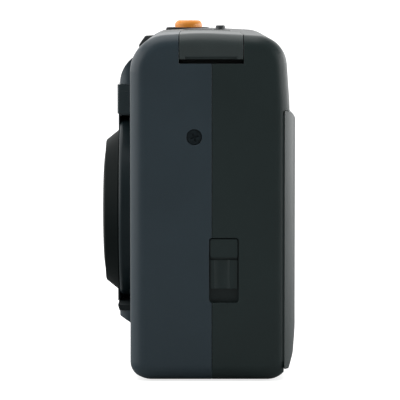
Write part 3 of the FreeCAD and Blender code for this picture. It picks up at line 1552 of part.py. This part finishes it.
def all_nodes():
    """Every piece by its name."""
    blank = cover_blank()
    return {
        "front_cover": make_front_cover(blank),
        "rear_cover": make_rear_cover(blank),
        "top_plate": make_top_plate(),
        "front_grip": make_grip_insert(),
        "finder_panel": make_finder_panel(),
        "lower_bezel": make_lower_bezel(),
        "lens_base_ring": make_base_ring(),
        "lens_cone": make_lens_cone(),
        "lens_front_plate": make_front_plate(),
        "lens_cover_blade_upper": make_barrier_blade(True),
        "lens_cover_blade_lower": make_barrier_blade(False),
        "lens_cover_guide": make_barrier_plate(),
        "lens_barrel": make_lens_barrel(),
        "lens_cell": make_lens_cell(),
        "front_element": make_front_element(),
        "rear_element": make_rear_element(),
        "shutter_plate": make_shutter_plate(),
        "shutter_blade_left": make_shutter_blade(True),
        "shutter_blade_right": make_shutter_blade(False),
        "chassis": make_chassis(),
        "film_rails": make_film_rails(),
        "takeup_spool": make_takeup_spool(),
        "film_sprocket": make_film_sprocket(),
        "idler_gear": make_idler_gear(),
        "film_motor": make_motor(),
        "rewind_fork": make_rewind_fork(),
        "cassette_contacts": cassette_contact_pads(0),
        "cassette_spring": make_cassette_spring(),
        "film_door": make_film_door(),
        "door_hinge_pin": make_hinge_pin(),
        "cassette_window": make_door_window(),
        "window_seal": make_window_seal(),
        "pressure_plate": make_pressure_plate(),
        "pressure_spring": make_pressure_spring(),
        "door_latch": make_latch_slider(),
        "finder_window": make_finder_window(),
        "focus_windows": make_focus_windows(),
        "finder_tunnel": make_finder_tunnel(),
        "eyepiece_frame": make_eyepiece_frame(),
        "eyepiece_lens": make_eyepiece_lens(),
        "ready_lamp": make_ready_lamp(),
        "counter_window": make_counter_window(),
        "counter_display": make_counter_display(),
        "release_collar": make_release_collar(),
        "shutter_release": make_shutter_release(),
        "release_spring": make_release_spring(),
        "board_switches": make_board_switches(),
        "mode_button": make_mode_button(),
        "power_switch": make_power_switch(),
        "circuit_board": make_circuit_board(),
        "flash_case": make_flash_case(),
        "flash_window": make_flash_window(),
        "flash_reflector": make_flash_reflector(),
        "flash_tube": make_flash_tube(),
        "flash_bracket": make_flash_bracket(),
        "flash_capacitor": make_flash_capacitor(),
        "battery_door": make_battery_door(),
        "battery_contact": make_battery_contact(),
        "tripod_socket": make_tripod_socket(),
        "fasteners": make_end_screws() + make_base_screws() + [strap_bar(0), flash_pin(0)],
    }


def write_parts():
    """Writes each piece to its own file."""
    os.makedirs("parts", exist_ok=True)
    for name, shape in all_nodes().items():
        solids = shape if isinstance(shape, list) else [shape]
        found = [solid for piece in solids for solid in piece.Solids]
        whole = found[0] if len(found) == 1 else Part.makeCompound(found)
        whole.exportStep(f"parts/{name}.step")
        print(name, len(found), round(whole.Volume, 1), whole.isValid())


write_parts()
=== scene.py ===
"""Looks of a compact film camera: finishes for every moulded, metal and glass piece, and its small trim."""

import json
import math

import bmesh
import bpy
import numpy as np
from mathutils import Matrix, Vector


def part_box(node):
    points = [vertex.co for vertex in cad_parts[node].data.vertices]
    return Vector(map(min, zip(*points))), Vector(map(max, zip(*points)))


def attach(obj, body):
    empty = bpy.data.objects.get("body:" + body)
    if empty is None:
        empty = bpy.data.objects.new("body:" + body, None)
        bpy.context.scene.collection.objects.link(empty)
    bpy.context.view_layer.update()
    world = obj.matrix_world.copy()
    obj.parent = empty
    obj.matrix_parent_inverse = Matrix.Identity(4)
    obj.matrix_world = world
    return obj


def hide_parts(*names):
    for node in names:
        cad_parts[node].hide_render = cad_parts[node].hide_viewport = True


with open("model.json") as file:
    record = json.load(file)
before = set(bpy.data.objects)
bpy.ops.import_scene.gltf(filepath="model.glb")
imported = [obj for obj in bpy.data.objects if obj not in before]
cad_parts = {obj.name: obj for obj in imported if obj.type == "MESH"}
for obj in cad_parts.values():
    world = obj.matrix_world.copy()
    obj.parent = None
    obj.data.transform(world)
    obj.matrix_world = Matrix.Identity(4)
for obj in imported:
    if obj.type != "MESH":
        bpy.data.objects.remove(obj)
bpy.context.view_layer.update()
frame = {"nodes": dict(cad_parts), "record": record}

MM = 0.001
nodes_of_camera = frame["nodes"]

# Counter digits, in the reader's directions from the middle of the display
digit_wide = 2.6 * MM
digit_tall = 4.8 * MM
digit_stroke = 0.5 * MM
digit_foot = -2.6 * MM
tens_left = -3.2 * MM
units_left = 0.6 * MM
charge_steps = 3
charge_pitch = 1.0 * MM
charge_wide = 0.7 * MM
charge_foot = 3.0 * MM
charge_head = 3.8 * MM
digit_lift = 0.004 * MM
digit_thick = 0.012 * MM

# Light seals and lip of the film door's opening
foam_x = (-55.0 * MM, 57.0 * MM)
foam_y = (16.3 * MM, 17.45 * MM)
foam_levels = {"upper": (53.35 * MM, 53.68 * MM), "lower": (4.62 * MM, 4.95 * MM)}
lip_plan = [(63.2, 17.2), (63.53, 17.2), (63.56, 17.4), (63.54, 17.58), (63.2, 17.58)]
lip_foot = 4.0 * MM
lip_head = 55.5 * MM

# Window panel and lower block, clear of the lens ring's rim
panel_foot = 54.35 * MM
block_head = 11.55 * MM
tongue_half_width = 8.0 * MM
tongue_gap = 0.02 * MM
tongue_steps = 13
root_depth = 1.3 * MM

# Floor
floor_radius = 6.0
floor_sides = 96
floor_drop = 0.0002
floor_grey = (0.42, 0.42, 0.42, 1)
contact_reach = 0.003

# Photograph's view
eye = (0.684, 0.0, 0.0799)
horizon_row = -1.2
image_size = 400
focal_pixels = 2976


# Node building

def new_material(name):
    """An empty material with its Principled shader joined to the output."""
    material = bpy.data.materials.new(name)
    material.use_nodes = True
    tree = material.node_tree
    tree.nodes.clear()
    output = tree.nodes.new("ShaderNodeOutputMaterial")
    shader = tree.nodes.new("ShaderNodeBsdfPrincipled")
    tree.links.new(shader.outputs["BSDF"], output.inputs["Surface"])
    return material, tree, shader


def place_on_piece(tree, stretch=(1, 1, 1), turn=(0, 0, 0)):
    """Object coordinates, stretched and turned, in metres."""
    coordinates = tree.nodes.new("ShaderNodeTexCoord")
    mapping = tree.nodes.new("ShaderNodeMapping")
    mapping.inputs["Scale"].default_value = stretch
    mapping.inputs["Rotation"].default_value = turn
    tree.links.new(coordinates.outputs["Object"], mapping.inputs["Vector"])
    return mapping.outputs["Vector"]


def noise(tree, place, grain_mm, detail=2.0, rough=0.5):
    """Smooth noise whose grains are about grain_mm across."""
    node = tree.nodes.new("ShaderNodeTexNoise")
    node.inputs["Scale"].default_value = 1 / (grain_mm * MM)
    node.inputs["Detail"].default_value = detail
    node.inputs["Roughness"].default_value = rough
    tree.links.new(place, node.inputs["Vector"])
    return node.outputs["Fac"]


def cells(tree, place, size_mm):
    """Rounded cells about size_mm across."""
    node = tree.nodes.new("ShaderNodeTexVoronoi")
    node.feature = "SMOOTH_F1"
    node.inputs["Scale"].default_value = 1 / (size_mm * MM)
    node.inputs["Smoothness"].default_value = 0.6
    tree.links.new(place, node.inputs["Vector"])
    return node.outputs["Distance"]


def spread(tree, value, low, high, from_low=0.3, from_high=0.7):
    """Maps a factor to the range low..high."""
    node = tree.nodes.new("ShaderNodeMapRange")
    node.inputs["From Min"].default_value = from_low
    node.inputs["From Max"].default_value = from_high
    node.inputs["To Min"].default_value = low
    node.inputs["To Max"].default_value = high
    tree.links.new(value, node.inputs["Value"])
    return node.outputs["Result"]


def tones(tree, value, dark, light):
    """A colour between two tones."""
    node = tree.nodes.new("ShaderNodeMix")
    node.data_type = "RGBA"
    node.inputs["A"].default_value = (*dark, 1)
    node.inputs["B"].default_value = (*light, 1)
    tree.links.new(value, node.inputs["Factor"])
    return node.outputs["Result"]


def plus(tree, first, second, share):
    """The first factor plus a share of the second."""
    node = tree.nodes.new("ShaderNodeMath")
    node.operation = "MULTIPLY_ADD"
    node.inputs[1].default_value = share
    tree.links.new(second, node.inputs[0])
    tree.links.new(first, node.inputs[2])
    return node.outputs[0]


def eased_edge(tree, radius_mm):
    """The surface normal with sharp edges rounded off by a small radius."""
    node = tree.nodes.new("ShaderNodeBevel")
    node.samples = 4
    node.inputs["Radius"].default_value = radius_mm * MM
    return node.outputs["Normal"]


def edge_mask(tree, rounded):
    """How far the rounded normal leans away from the flat one: about 0 on faces and 1 on edges."""
    geometry = tree.nodes.new("ShaderNodeNewGeometry")
    dot = tree.nodes.new("ShaderNodeVectorMath")
    dot.operation = "DOT_PRODUCT"
    tree.links.new(rounded, dot.inputs[0])
    tree.links.new(geometry.outputs["Normal"], dot.inputs[1])
    return spread(tree, dot.outputs["Value"], 1.0, 0.0, 0.86, 0.995)


def raised(tree, height, depth_mm, normal=None, strength=1.0):
    """A bump of a height field that is depth_mm deep."""
    node = tree.nodes.new("ShaderNodeBump")
    node.inputs["Strength"].default_value = strength
    node.inputs["Distance"].default_value = depth_mm * MM
    tree.links.new(height, node.inputs["Height"])
    if normal is not None:
        tree.links.new(normal, node.inputs["Normal"])
    return node.outputs["Normal"]


def shade(colour, factor):
    """A colour made lighter or darker."""
    return tuple(min(1.0, part * factor) for part in colour)


# Finishes

def moulded_plastic(name, colour, rough=0.42, grain_mm=0.35, depth_mm=0.012, edge_mm=0.18, level=0.5):
    """Spark-textured moulding: fine grains, faint blotches of tone, slightly polished edges."""
    material, tree, shader = new_material(name)
    place = place_on_piece(tree)
    grain = noise(tree, place, grain_mm, 3.0, 0.6)
    blotch = noise(tree, place, 14.0, 3.0, 0.55)
    rounded = eased_edge(tree, edge_mm)
    worn = edge_mask(tree, rounded)
    tone = plus(tree, spread(tree, blotch, 0.25, 0.6), worn, 0.35)
    tone = plus(tree, tone, spread(tree, grain, -0.1, 0.1), 1.0)
    tree.links.new(tones(tree, tone, shade(colour, 0.86), shade(colour, 1.2)), shader.inputs["Base Color"])
    gloss = plus(tree, spread(tree, blotch, rough - 0.04, rough + 0.04), worn, -0.08)
    tree.links.new(gloss, shader.inputs["Roughness"])
    shader.inputs["Specular IOR Level"].default_value = level
    tree.links.new(raised(tree, grain, depth_mm, rounded), shader.inputs["Normal"])
    return material


def polished_plastic(name, colour, rough=0.12, edge_mm=0.15, level=0.5):
    """Glossy moulding with a faint orange-peel and fine dust of hairline marks."""
    material, tree, shader = new_material(name)
    place = place_on_piece(tree)
    peel = noise(tree, place, 3.0, 1.0, 0.4)
    marks = noise(tree, place_on_piece(tree, (1, 1, 9), (0.3, 0.2, 0.5)), 2.0, 5.0, 0.7)
    rounded = eased_edge(tree, edge_mm)
    tree.links.new(
        tones(tree, spread(tree, peel, 0.3, 0.7), shade(colour, 0.9), shade(colour, 1.12)),
        shader.inputs["Base Color"],
    )
    tree.links.new(spread(tree, marks, rough * 0.7, rough * 1.7, 0.35, 0.75), shader.inputs["Roughness"])
    shader.inputs["Specular IOR Level"].default_value = level
    tree.links.new(raised(tree, peel, 0.006, rounded), shader.inputs["Normal"])
    return material


def soft_rubber(name, colour, pebble_mm=0.6):
    """Rubber or foam: pebbled, dull, with a grey bloom on its high spots."""
    material, tree, shader = new_material(name)
    place = place_on_piece(tree)
    pebble = cells(tree, place, pebble_mm)
    bloom = noise(tree, place, 6.0, 4.0, 0.6)
    tone = plus(tree, spread(tree, bloom, 0.1, 0.5), spread(tree, pebble, 0.4, 0.0, 0.1, 0.6), 0.6)
    tree.links.new(tones(tree, tone, shade(colour, 0.8), shade(colour, 1.7)), shader.inputs["Base Color"])
    tree.links.new(spread(tree, bloom, 0.68, 0.82), shader.inputs["Roughness"])
    tree.links.new(raised(tree, pebble, 0.05, eased_edge(tree, 0.12)), shader.inputs["Normal"])
    shader.inputs["Specular IOR Level"].default_value = 0.35
    return material


def worked_metal(name, colour, rough=0.28, stretch=(1, 1, 40), line_mm=0.9, depth_mm=0.004):
    """Metal with fine lines left by rolling or turning."""
    material, tree, shader = new_material(name)
    lines = noise(tree, place_on_piece(tree, stretch), line_mm, 4.0, 0.65)
    cloud = noise(tree, place_on_piece(tree), 7.0, 2.0, 0.5)
    tree.links.new(
        tones(tree, spread(tree, cloud, 0.2, 0.8), shade(colour, 0.82), shade(colour, 1.05)),
        shader.inputs["Base Color"],
    )
    tree.links.new(spread(tree, lines, rough * 0.7, rough * 1.4), shader.inputs["Roughness"])
    shader.inputs["Metallic"].default_value = 1.0
    tree.links.new(raised(tree, lines, depth_mm, eased_edge(tree, 0.08)), shader.inputs["Normal"])
    return material


def blackened_steel(name, colour):
    """Screws and clips with a dark oxide coat, rubbed bright at their edges."""
    material, tree, shader = new_material(name)
    place = place_on_piece(tree)
    rub = noise(tree, place, 0.8, 4.0, 0.6)
    rounded = eased_edge(tree, 0.08)
    worn = edge_mask(tree, rounded)
    tone = plus(tree, spread(tree, rub, 0.0, 0.3), worn, 0.4)
    tree.links.new(tones(tree, tone, colour, shade(colour, 7.0)), shader.inputs["Base Color"])
    tree.links.new(spread(tree, rub, 0.3, 0.5), shader.inputs["Roughness"])
    shader.inputs["Metallic"].default_value = 0.7
    tree.links.new(raised(tree, rub, 0.01, rounded), shader.inputs["Normal"])
    return material


def clear_glass(name, colour, rough=0.03, coat=None, ior=1.49):
    """A clear pane or lens, its face a little wiped, with a thin tinted coating where given."""
    material, tree, shader = new_material(name)
    place = place_on_piece(tree)
    wipe = noise(tree, place_on_piece(tree, (1, 1, 3)), 3.0, 3.0, 0.6)
    haze = noise(tree, place, 1.2, 2.0, 0.5)
    tree.links.new(
        tones(tree, spread(tree, wipe, 0.3, 0.7), shade(colour, 0.96), shade(colour, 1.02)),
        shader.inputs["Base Color"],
    )
    tree.links.new(spread(tree, wipe, rough * 0.5, rough * 1.8), shader.inputs["Roughness"])
    shader.inputs["Transmission Weight"].default_value = 1.0
    shader.inputs["IOR"].default_value = ior
    if coat is not None:
        shader.inputs["Specular Tint"].default_value = (*coat, 1)
        shader.inputs["Specular IOR Level"].default_value = 0.8
    tree.links.new(raised(tree, haze, 0.001), shader.inputs["Normal"])
    return material


def lacquered_board(name, colour, copper):
    """A circuit board: lacquer over a grid of copper tracks."""
    material, tree, shader = new_material(name)
    place = place_on_piece(tree)
    tracks = tree.nodes.new("ShaderNodeTexBrick")
    tracks.inputs["Scale"].default_value = 240
    tracks.inputs["Mortar Size"].default_value = 0.012
    tracks.inputs["Color1"].default_value = (*colour, 1)
    tracks.inputs["Color2"].default_value = (*shade(colour, 1.25), 1)
    tracks.inputs["Mortar"].default_value = (*copper, 1)
    tree.links.new(place, tracks.inputs["Vector"])
    tree.links.new(tracks.outputs["Color"], shader.inputs["Base Color"])
    film = noise(tree, place, 2.0, 2.0, 0.5)
    tree.links.new(spread(tree, film, 0.2, 0.34), shader.inputs["Roughness"])
    tree.links.new(raised(tree, tracks.outputs["Fac"], 0.02), shader.inputs["Normal"])
    return material


# Colours are linear

front_charcoal = (0.0240, 0.0420, 0.0540)
rear_charcoal = (0.0105, 0.0220, 0.0220)
lid_charcoal = (0.0350, 0.0480, 0.0480)
plate_charcoal = (0.0270, 0.0350, 0.0365)
panel_black = (0.0270, 0.0420, 0.0480)
# Lower bezel: its own dark grey made darker still, as painted shade for the shaded gap under the lens ring
shade_darkened_bezel_grey = (0.0105, 0.0165, 0.0180)
door_charcoal = (0.0125, 0.0255, 0.0255)
ring_grey = (0.0120, 0.0220, 0.0260)
collar_grey = (0.0110, 0.0130, 0.0140)
knob_grey = (0.0480, 0.0560, 0.0580)
cone_black = (0.0030, 0.0060, 0.0060)
hollow_black = (0.0040, 0.0042, 0.0044)
release_orange = (1.0, 0.33, 0.035)
nylon_white = (0.62, 0.60, 0.54)
grip_black = (0.009, 0.010, 0.011)
foam_black = (0.006, 0.006, 0.0065)
screw_black = (0.006, 0.010, 0.012)
steel_grey = (0.56, 0.56, 0.57)
mirror_grey = (0.86, 0.86, 0.87)
brass_yellow = (0.66, 0.47, 0.2)
contact_gold = (0.86, 0.62, 0.26)
board_green = (0.012, 0.09, 0.035)
track_green = (0.05, 0.16, 0.06)
pane_tint = (0.93, 0.96, 0.97)
lens_tint = (0.90, 0.93, 0.97)
coating_violet = (0.62, 0.58, 0.85)
flash_tint = (0.95, 0.96, 0.95)
display_tint = (0.95, 0.97, 0.97)
display_grey = (0.24, 0.28, 0.23)
mark_black = (0.010, 0.012, 0.011)

finishes = {
    "front_shell": moulded_plastic("front_shell", front_charcoal, rough=0.40, level=0.42),
    "lid": moulded_plastic("lid", lid_charcoal, rough=0.40, level=0.42),
    "rear_shell": moulded_plastic("rear_shell", rear_charcoal, rough=0.40, level=0.38),
    "door_shell": moulded_plastic("door_shell", door_charcoal, rough=0.36, level=0.6),
    "top_panel": moulded_plastic("top_panel", plate_charcoal, rough=0.46, grain_mm=0.22, depth_mm=0.014),
    "dark_panel": polished_plastic("dark_panel", panel_black, rough=0.2, level=0.35),
    "lens_black": moulded_plastic(
        "lens_black", cone_black, rough=0.55, grain_mm=0.16, depth_mm=0.006, edge_mm=0.12, level=0.06,
    ),
    "inner_black": moulded_plastic(
        "inner_black", hollow_black, rough=0.66, grain_mm=0.5, depth_mm=0.02, edge_mm=0.15, level=0.3,
    ),
    "soft_grip": soft_rubber("soft_grip", grip_black, pebble_mm=0.55),
    "release_orange": polished_plastic(
        "release_orange", release_orange, rough=0.38, edge_mm=0.3, level=0.5,
    ),
    "clear_pane": clear_glass("clear_pane", pane_tint),
    "lens_glass": clear_glass("lens_glass", lens_tint, rough=0.015, coat=coating_violet, ior=1.62),
    "steel": worked_metal("steel", steel_grey, rough=0.3),
    "dark_screw": blackened_steel("dark_screw", screw_black),
    "bright_metal": worked_metal(
        "bright_metal", mirror_grey, rough=0.08, stretch=(30, 1, 1), line_mm=1.5, depth_mm=0.002,
    ),
    "brass": worked_metal("brass", brass_yellow, rough=0.26, stretch=(1, 1, 30), line_mm=0.8),
    "gold_contact": worked_metal(
        "gold_contact", contact_gold, rough=0.2, stretch=(1, 30, 1), line_mm=0.8,
    ),
    "board": lacquered_board("board", board_green, track_green),
    "foam": soft_rubber("foam", foam_black, pebble_mm=0.3),
    "flash_clear": clear_glass("flash_clear", flash_tint, rough=0.08),
    "display_pane": clear_glass("display_pane", display_tint, rough=0.03, ior=1.2),
    "display_face": moulded_plastic(
        "display_face", display_grey, rough=0.5, grain_mm=0.3, depth_mm=0.001, edge_mm=0.01,
    ),
    "display_mark": moulded_plastic(
        "display_mark", mark_black, rough=0.5, grain_mm=0.2, depth_mm=0.001, edge_mm=0.01,
    ),
    # The bezel finish carries painted shade: its colour is darkened to stand for the shade that falls under
    # the lens ring
    "bezel": moulded_plastic("bezel", shade_darkened_bezel_grey, rough=0.5, grain_mm=0.2, depth_mm=0.01, level=0.25),
    "ring": moulded_plastic("ring", ring_grey, rough=0.46, grain_mm=0.2, depth_mm=0.008, level=0.25),
    "collar": moulded_plastic("collar", collar_grey, rough=0.6, grain_mm=0.2, depth_mm=0.008, level=0.15),
    "knob": moulded_plastic("knob", knob_grey, rough=0.42, grain_mm=0.2, depth_mm=0.008),
    "white_gear": moulded_plastic(
        "white_gear", nylon_white, rough=0.45, grain_mm=0.4, depth_mm=0.006, edge_mm=0.1,
    ),
}

slot_of = {row["node"]: row["material_slot"] for row in frame["record"]["subparts"]}
slot_of.update(
    flash_case="lid", lower_bezel="bezel", lens_base_ring="ring", release_collar="collar",
    mode_button="knob", power_switch="knob", film_door="door_shell",
    shutter_blade_left="dark_screw", shutter_blade_right="dark_screw",
    counter_window="display_pane", counter_display="display_face",
)


def finish_cad_nodes():
    """Gives each carried-over node its finish."""
    for name, piece in nodes_of_camera.items():
        piece.data.materials.clear()
        piece.data.materials.append(finishes[slot_of[name]])


finish_cad_nodes()


# Small trim, each piece lying on the CAD node that carries it

def bars_mesh(name, bars):
    """One mesh of upright boxes, each given by its lowest and highest corner."""
    corners = []
    faces = []
    for low, high in bars:
        first = len(corners)
        for z in (low[2], high[2]):
            corners += [(low[0], low[1], z), (high[0], low[1], z)]
            corners += [(high[0], high[1], z), (low[0], high[1], z)]
        sides = [(0, 3, 2, 1), (4, 5, 6, 7), (0, 1, 5, 4), (1, 2, 6, 5), (2, 3, 7, 6), (3, 0, 4, 7)]
        faces += [tuple(first + corner for corner in side) for side in sides]
    mesh = bpy.data.meshes.new(name)
    mesh.from_pydata([tuple(map(float, corner)) for corner in corners], [], faces)
    return mesh


def add_piece(name, mesh, finish, body):
    """A piece with its finish that moves with a body."""
    piece = bpy.data.objects.new(name, mesh)
    bpy.context.collection.objects.link(piece)
    mesh.materials.append(finishes[finish])
    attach(piece, body)
    return piece


def digit_bars(strokes, left):
    """A seven-segment digit as (left, right, foot, head) bars in the reader's directions."""
    foot = digit_foot
    head = foot + digit_tall
    middle = foot + digit_tall / 2
    right = left + digit_wide
    thick = digit_stroke
    gap = thick * 0.6
    places = {
        "head": (left + gap, right - gap, head - thick, head),
        "waist": (left + gap, right - gap, middle - thick / 2, middle + thick / 2),
        "foot": (left + gap, right - gap, foot, foot + thick),
        "upper_left": (left, left + thick, middle + gap, head - gap),
        "upper_right": (right - thick, right, middle + gap, head - gap),
        "lower_left": (left, left + thick, foot + gap, middle - gap),
        "lower_right": (right - thick, right, foot + gap, middle - gap),
    }
    return [places[stroke] for stroke in strokes]


def make_counter_digits():
    """The frames left and a charge bar on the counter's face, read from behind the camera."""
    low, high = (np.array(corner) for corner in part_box("counter_display"))
    centre = (low + high) / 2
    two = ("head", "upper_right", "waist", "lower_left", "foot")
    four = ("upper_left", "upper_right", "waist", "lower_right")
    bars = digit_bars(two, tens_left) + digit_bars(four, units_left)
    for step in range(charge_steps):
        left = tens_left + step * charge_pitch
        bars.append((left, left + charge_wide, charge_foot, charge_head))
    z0 = high[2] + digit_lift
    z1 = z0 + digit_thick
    boxes = [
        ((centre[0] - right, centre[1] - head, z0), (centre[0] - left, centre[1] - foot, z1))
        for left, right, foot, head in bars
    ]
    add_piece("counter_digits", bars_mesh("counter_digits", boxes), "display_mark", "camera")


def make_door_foam():
    """Light seals of black foam along the upper and lower walls of the film door's opening."""
    for name, levels in foam_levels.items():
        low, high = zip(foam_x, foam_y, levels)
        mesh = bars_mesh("door_foam_" + name, [(low, high)])
        add_piece("door_foam_" + name, mesh, "foam", "camera")


def make_door_lip():
    """The rear cover's thin raised lip along the free edge of the film door: lip_plan carried up along Z."""
    plan = np.array(lip_plan) * MM
    corners = [(x, y, lip_foot) for x, y in plan] + [(x, y, lip_head) for x, y in plan]
    count = len(plan)
    around = [(step, (step + 1) % count, (step + 1) % count + count, step + count) for step in range(count)]
    faces = around + [tuple(range(count))[::-1], tuple(range(count, 2 * count))]
    mesh = bpy.data.meshes.new("door_lip")
    mesh.from_pydata(corners, [], faces)
    add_piece("door_lip", mesh, "rear_shell", "camera")


def level_cut(node, level, keep_above):
    """A copy of a CAD node kept above or below a level, with its cut closed."""
    shape = bmesh.new()
    shape.from_mesh(nodes_of_camera[node].data)
    bmesh.ops.remove_doubles(shape, verts=shape.verts, dist=0.001 * MM)
    parts = shape.verts[:] + shape.edges[:] + shape.faces[:]
    bmesh.ops.bisect_plane(
        shape, geom=parts, plane_co=(0, 0, level), plane_no=(0, 0, 1),
        clear_inner=keep_above, clear_outer=not keep_above,
    )
    rim = [edge for edge in shape.edges if edge.is_boundary]
    bmesh.ops.triangle_fill(shape, use_beauty=True, use_dissolve=False, edges=rim)
    return shape


def add_prism(shape, outline, y0, y1):
    """Adds a prism along Y whose outline is an array of (x, z)."""
    near = [shape.verts.new((x, y0, z)) for x, z in outline]
    far = [shape.verts.new((x, y1, z)) for x, z in outline]
    shape.faces.new(near)
    shape.faces.new(far[::-1])
    for step in range(len(outline)):
        after = (step + 1) % len(outline)
        shape.faces.new((near[step], far[step], far[after], near[after]))


def tongue_outline(root, upward):
    """(x, z) of a tongue from its root level to the lens cone's foot.

    Its end is an arc round the cone's axis: z is the axis's height plus or minus the root of
    reach squared less x squared, with x counted from the axis.
    """
    low, high = (np.array(corner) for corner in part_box("lens_cone"))
    centre = (low + high) / 2
    reach = (high[0] - low[0]) / 2 + tongue_gap
    x = np.linspace(-tongue_half_width, tongue_half_width, tongue_steps)
    z = centre[2] + (1 if upward else -1) * np.sqrt(reach ** 2 - x ** 2)
    arc = np.column_stack([centre[0] + x, z])
    ends = np.array([(arc[-1, 0], root), (arc[0, 0], root)])
    return np.vstack([arc, ends])


def make_front_block(node, name, level, keep_above):
    """The dark block over or under the lens ring, clear of its rim, with a tongue on its face."""
    shape = level_cut(node, level, keep_above)
    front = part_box(node)[0][1]
    ring_low, ring_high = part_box("lens_base_ring")
    add_prism(shape, tongue_outline(level, keep_above), front, ring_low[1] - tongue_gap)
    rim = ring_high[2] + tongue_gap if keep_above else ring_low[2] - tongue_gap
    middle = (ring_low[0] + ring_high[0]) / 2
    left, right = middle - tongue_half_width, middle + tongue_half_width
    root = [(left, rim), (right, rim), (right, level), (left, level)]
    add_prism(shape, root, ring_low[1] - tongue_gap, ring_high[1] - root_depth)
    bmesh.ops.recalc_face_normals(shape, faces=shape.faces[:])
    mesh = bpy.data.meshes.new(name)
    shape.to_mesh(mesh)
    shape.free()
    piece = add_piece(name, mesh, slot_of[node], "camera")
    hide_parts(node)


make_counter_digits()
make_door_foam()
make_door_lip()
make_front_block("finder_panel", "window_panel", panel_foot, True)
# The lower block keeps the bezel finish, whose dark colour is partly the piece's own and partly painted
# shade under the lens ring
make_front_block("lower_bezel", "lower_block", block_head, False)


# Stage

def floor_material():
    """Pale floor that shows white where seen, a soft grey as light and in mirrors, with a contact shadow."""
    material = bpy.data.materials.new("pale_floor")
    material.use_nodes = True
    tree = material.node_tree
    tree.nodes.clear()
    output = tree.nodes.new("ShaderNodeOutputMaterial")
    matte = tree.nodes.new("ShaderNodeBsdfDiffuse")
    matte.inputs["Color"].default_value = floor_grey
    lift = tree.nodes.new("ShaderNodeEmission")
    seen = seen_rays(tree)
    near = tree.nodes.new("ShaderNodeAmbientOcclusion")
    near.samples = 8
    near.inputs["Distance"].default_value = contact_reach
    openness = spread(tree, near.outputs["AO"], 0.75, 1.05, 0.35, 0.7)
    scale = tree.nodes.new("ShaderNodeMath")
    scale.operation = "MULTIPLY"
    tree.links.new(seen, scale.inputs[0])
    tree.links.new(openness, scale.inputs[1])
    tree.links.new(scale.outputs[0], lift.inputs["Strength"])
    both = tree.nodes.new("ShaderNodeAddShader")
    tree.links.new(matte.outputs[0], both.inputs[0])
    tree.links.new(lift.outputs[0], both.inputs[1])
    tree.links.new(both.outputs[0], output.inputs["Surface"])
    return material


def seen_rays(tree):
    """1 for rays from the camera, straight or through glass, otherwise 0."""
    path = tree.nodes.new("ShaderNodeLightPath")
    most = tree.nodes.new("ShaderNodeMath")
    most.operation = "MAXIMUM"
    tree.links.new(path.outputs["Is Camera Ray"], most.inputs[0])
    tree.links.new(path.outputs["Is Transmission Ray"], most.inputs[1])
    return most.outputs[0]


def make_floor():
    """A wide round floor just under the camera's base."""
    turn = np.linspace(0, 2 * math.pi, floor_sides + 1)[:-1]
    level = np.full(floor_sides, -floor_drop)
    points = np.column_stack([floor_radius * np.cos(turn), floor_radius * np.sin(turn), level])
    mesh = bpy.data.meshes.new("floor")
    mesh.from_pydata(points.tolist(), [], [list(range(floor_sides))])
    floor = bpy.data.objects.new("floor", mesh)
    bpy.context.collection.objects.link(floor)
    mesh.materials.append(floor_material())


def light_world():
    """White where the camera looks; as light and in mirrors dim, with the white backdrop behind the part."""
    world = bpy.data.worlds.new("studio")
    bpy.context.scene.world = world
    world.use_nodes = True
    tree = world.node_tree
    tree.nodes.clear()
    output = tree.nodes.new("ShaderNodeOutputWorld")
    sky = tree.nodes.new("ShaderNodeBackground")
    sky.inputs["Color"].default_value = (1, 1, 1, 1)
    heading = tree.nodes.new("ShaderNodeTexCoord")
    parts = tree.nodes.new("ShaderNodeSeparateXYZ")
    tree.links.new(heading.outputs["Generated"], parts.inputs["Vector"])
    studio = spread(tree, parts.outputs["X"], 1.5, 0.28, -0.75, -0.2)
    level = tree.nodes.new("ShaderNodeMath")
    level.operation = "MAXIMUM"
    tree.links.new(seen_rays(tree), level.inputs[0])
    tree.links.new(studio, level.inputs[1])
    tree.links.new(level.outputs[0], sky.inputs["Strength"])
    tree.links.new(sky.outputs[0], output.inputs["Surface"])


def soft_box(name, place, target, width, tall, watts):
    """A rectangular soft light aimed at a point."""
    data = bpy.data.lights.new(name, "AREA")
    data.shape = "RECTANGLE"
    data.size = width
    data.size_y = tall
    data.energy = watts
    lamp = bpy.data.objects.new(name, data)
    bpy.context.collection.objects.link(lamp)
    lamp.location = place
    aim = np.array(target) - np.array(place)
    lamp.rotation_euler = Vector(aim).to_track_quat("-Z", "Y").to_euler()
    lamp.visible_camera = False
    return lamp


def make_lights():
    """Overhead soft box, a wide low one behind the camera and a third before its lens."""
    middle = (0, 0, 0.04)
    low_middle = (0, 0, 0.03)
    soft_box("overhead", (0.0, -0.2, 0.9), middle, width=0.8, tall=0.8, watts=3.6)
    soft_box("back_side", (-0.1, 0.8, 0.06), low_middle, width=1.5, tall=0.7, watts=11.0)
    soft_box("front_side", (0.1, -0.8, 0.3), middle, width=1.2, tall=0.7, watts=5.0)


# Camera

def make_camera():
    """The photograph's view: square on the left end, a little from above, through a long lens."""
    data = bpy.data.cameras.new("view")
    data.sensor_width = 36
    data.lens = focal_pixels * data.sensor_width / image_size
    camera = bpy.data.objects.new("view", data)
    bpy.context.collection.objects.link(camera)
    pitch = math.atan((image_size / 2 - horizon_row) / focal_pixels)
    camera.location = eye
    camera.rotation_euler = (math.pi / 2 - pitch, 0, math.pi / 2)
    data.clip_start = 0.01
    data.clip_end = 50
    bpy.context.scene.camera = camera


make_floor()
light_world()
make_lights()
make_camera()
bpy.context.scene.view_settings.view_transform = "Standard"
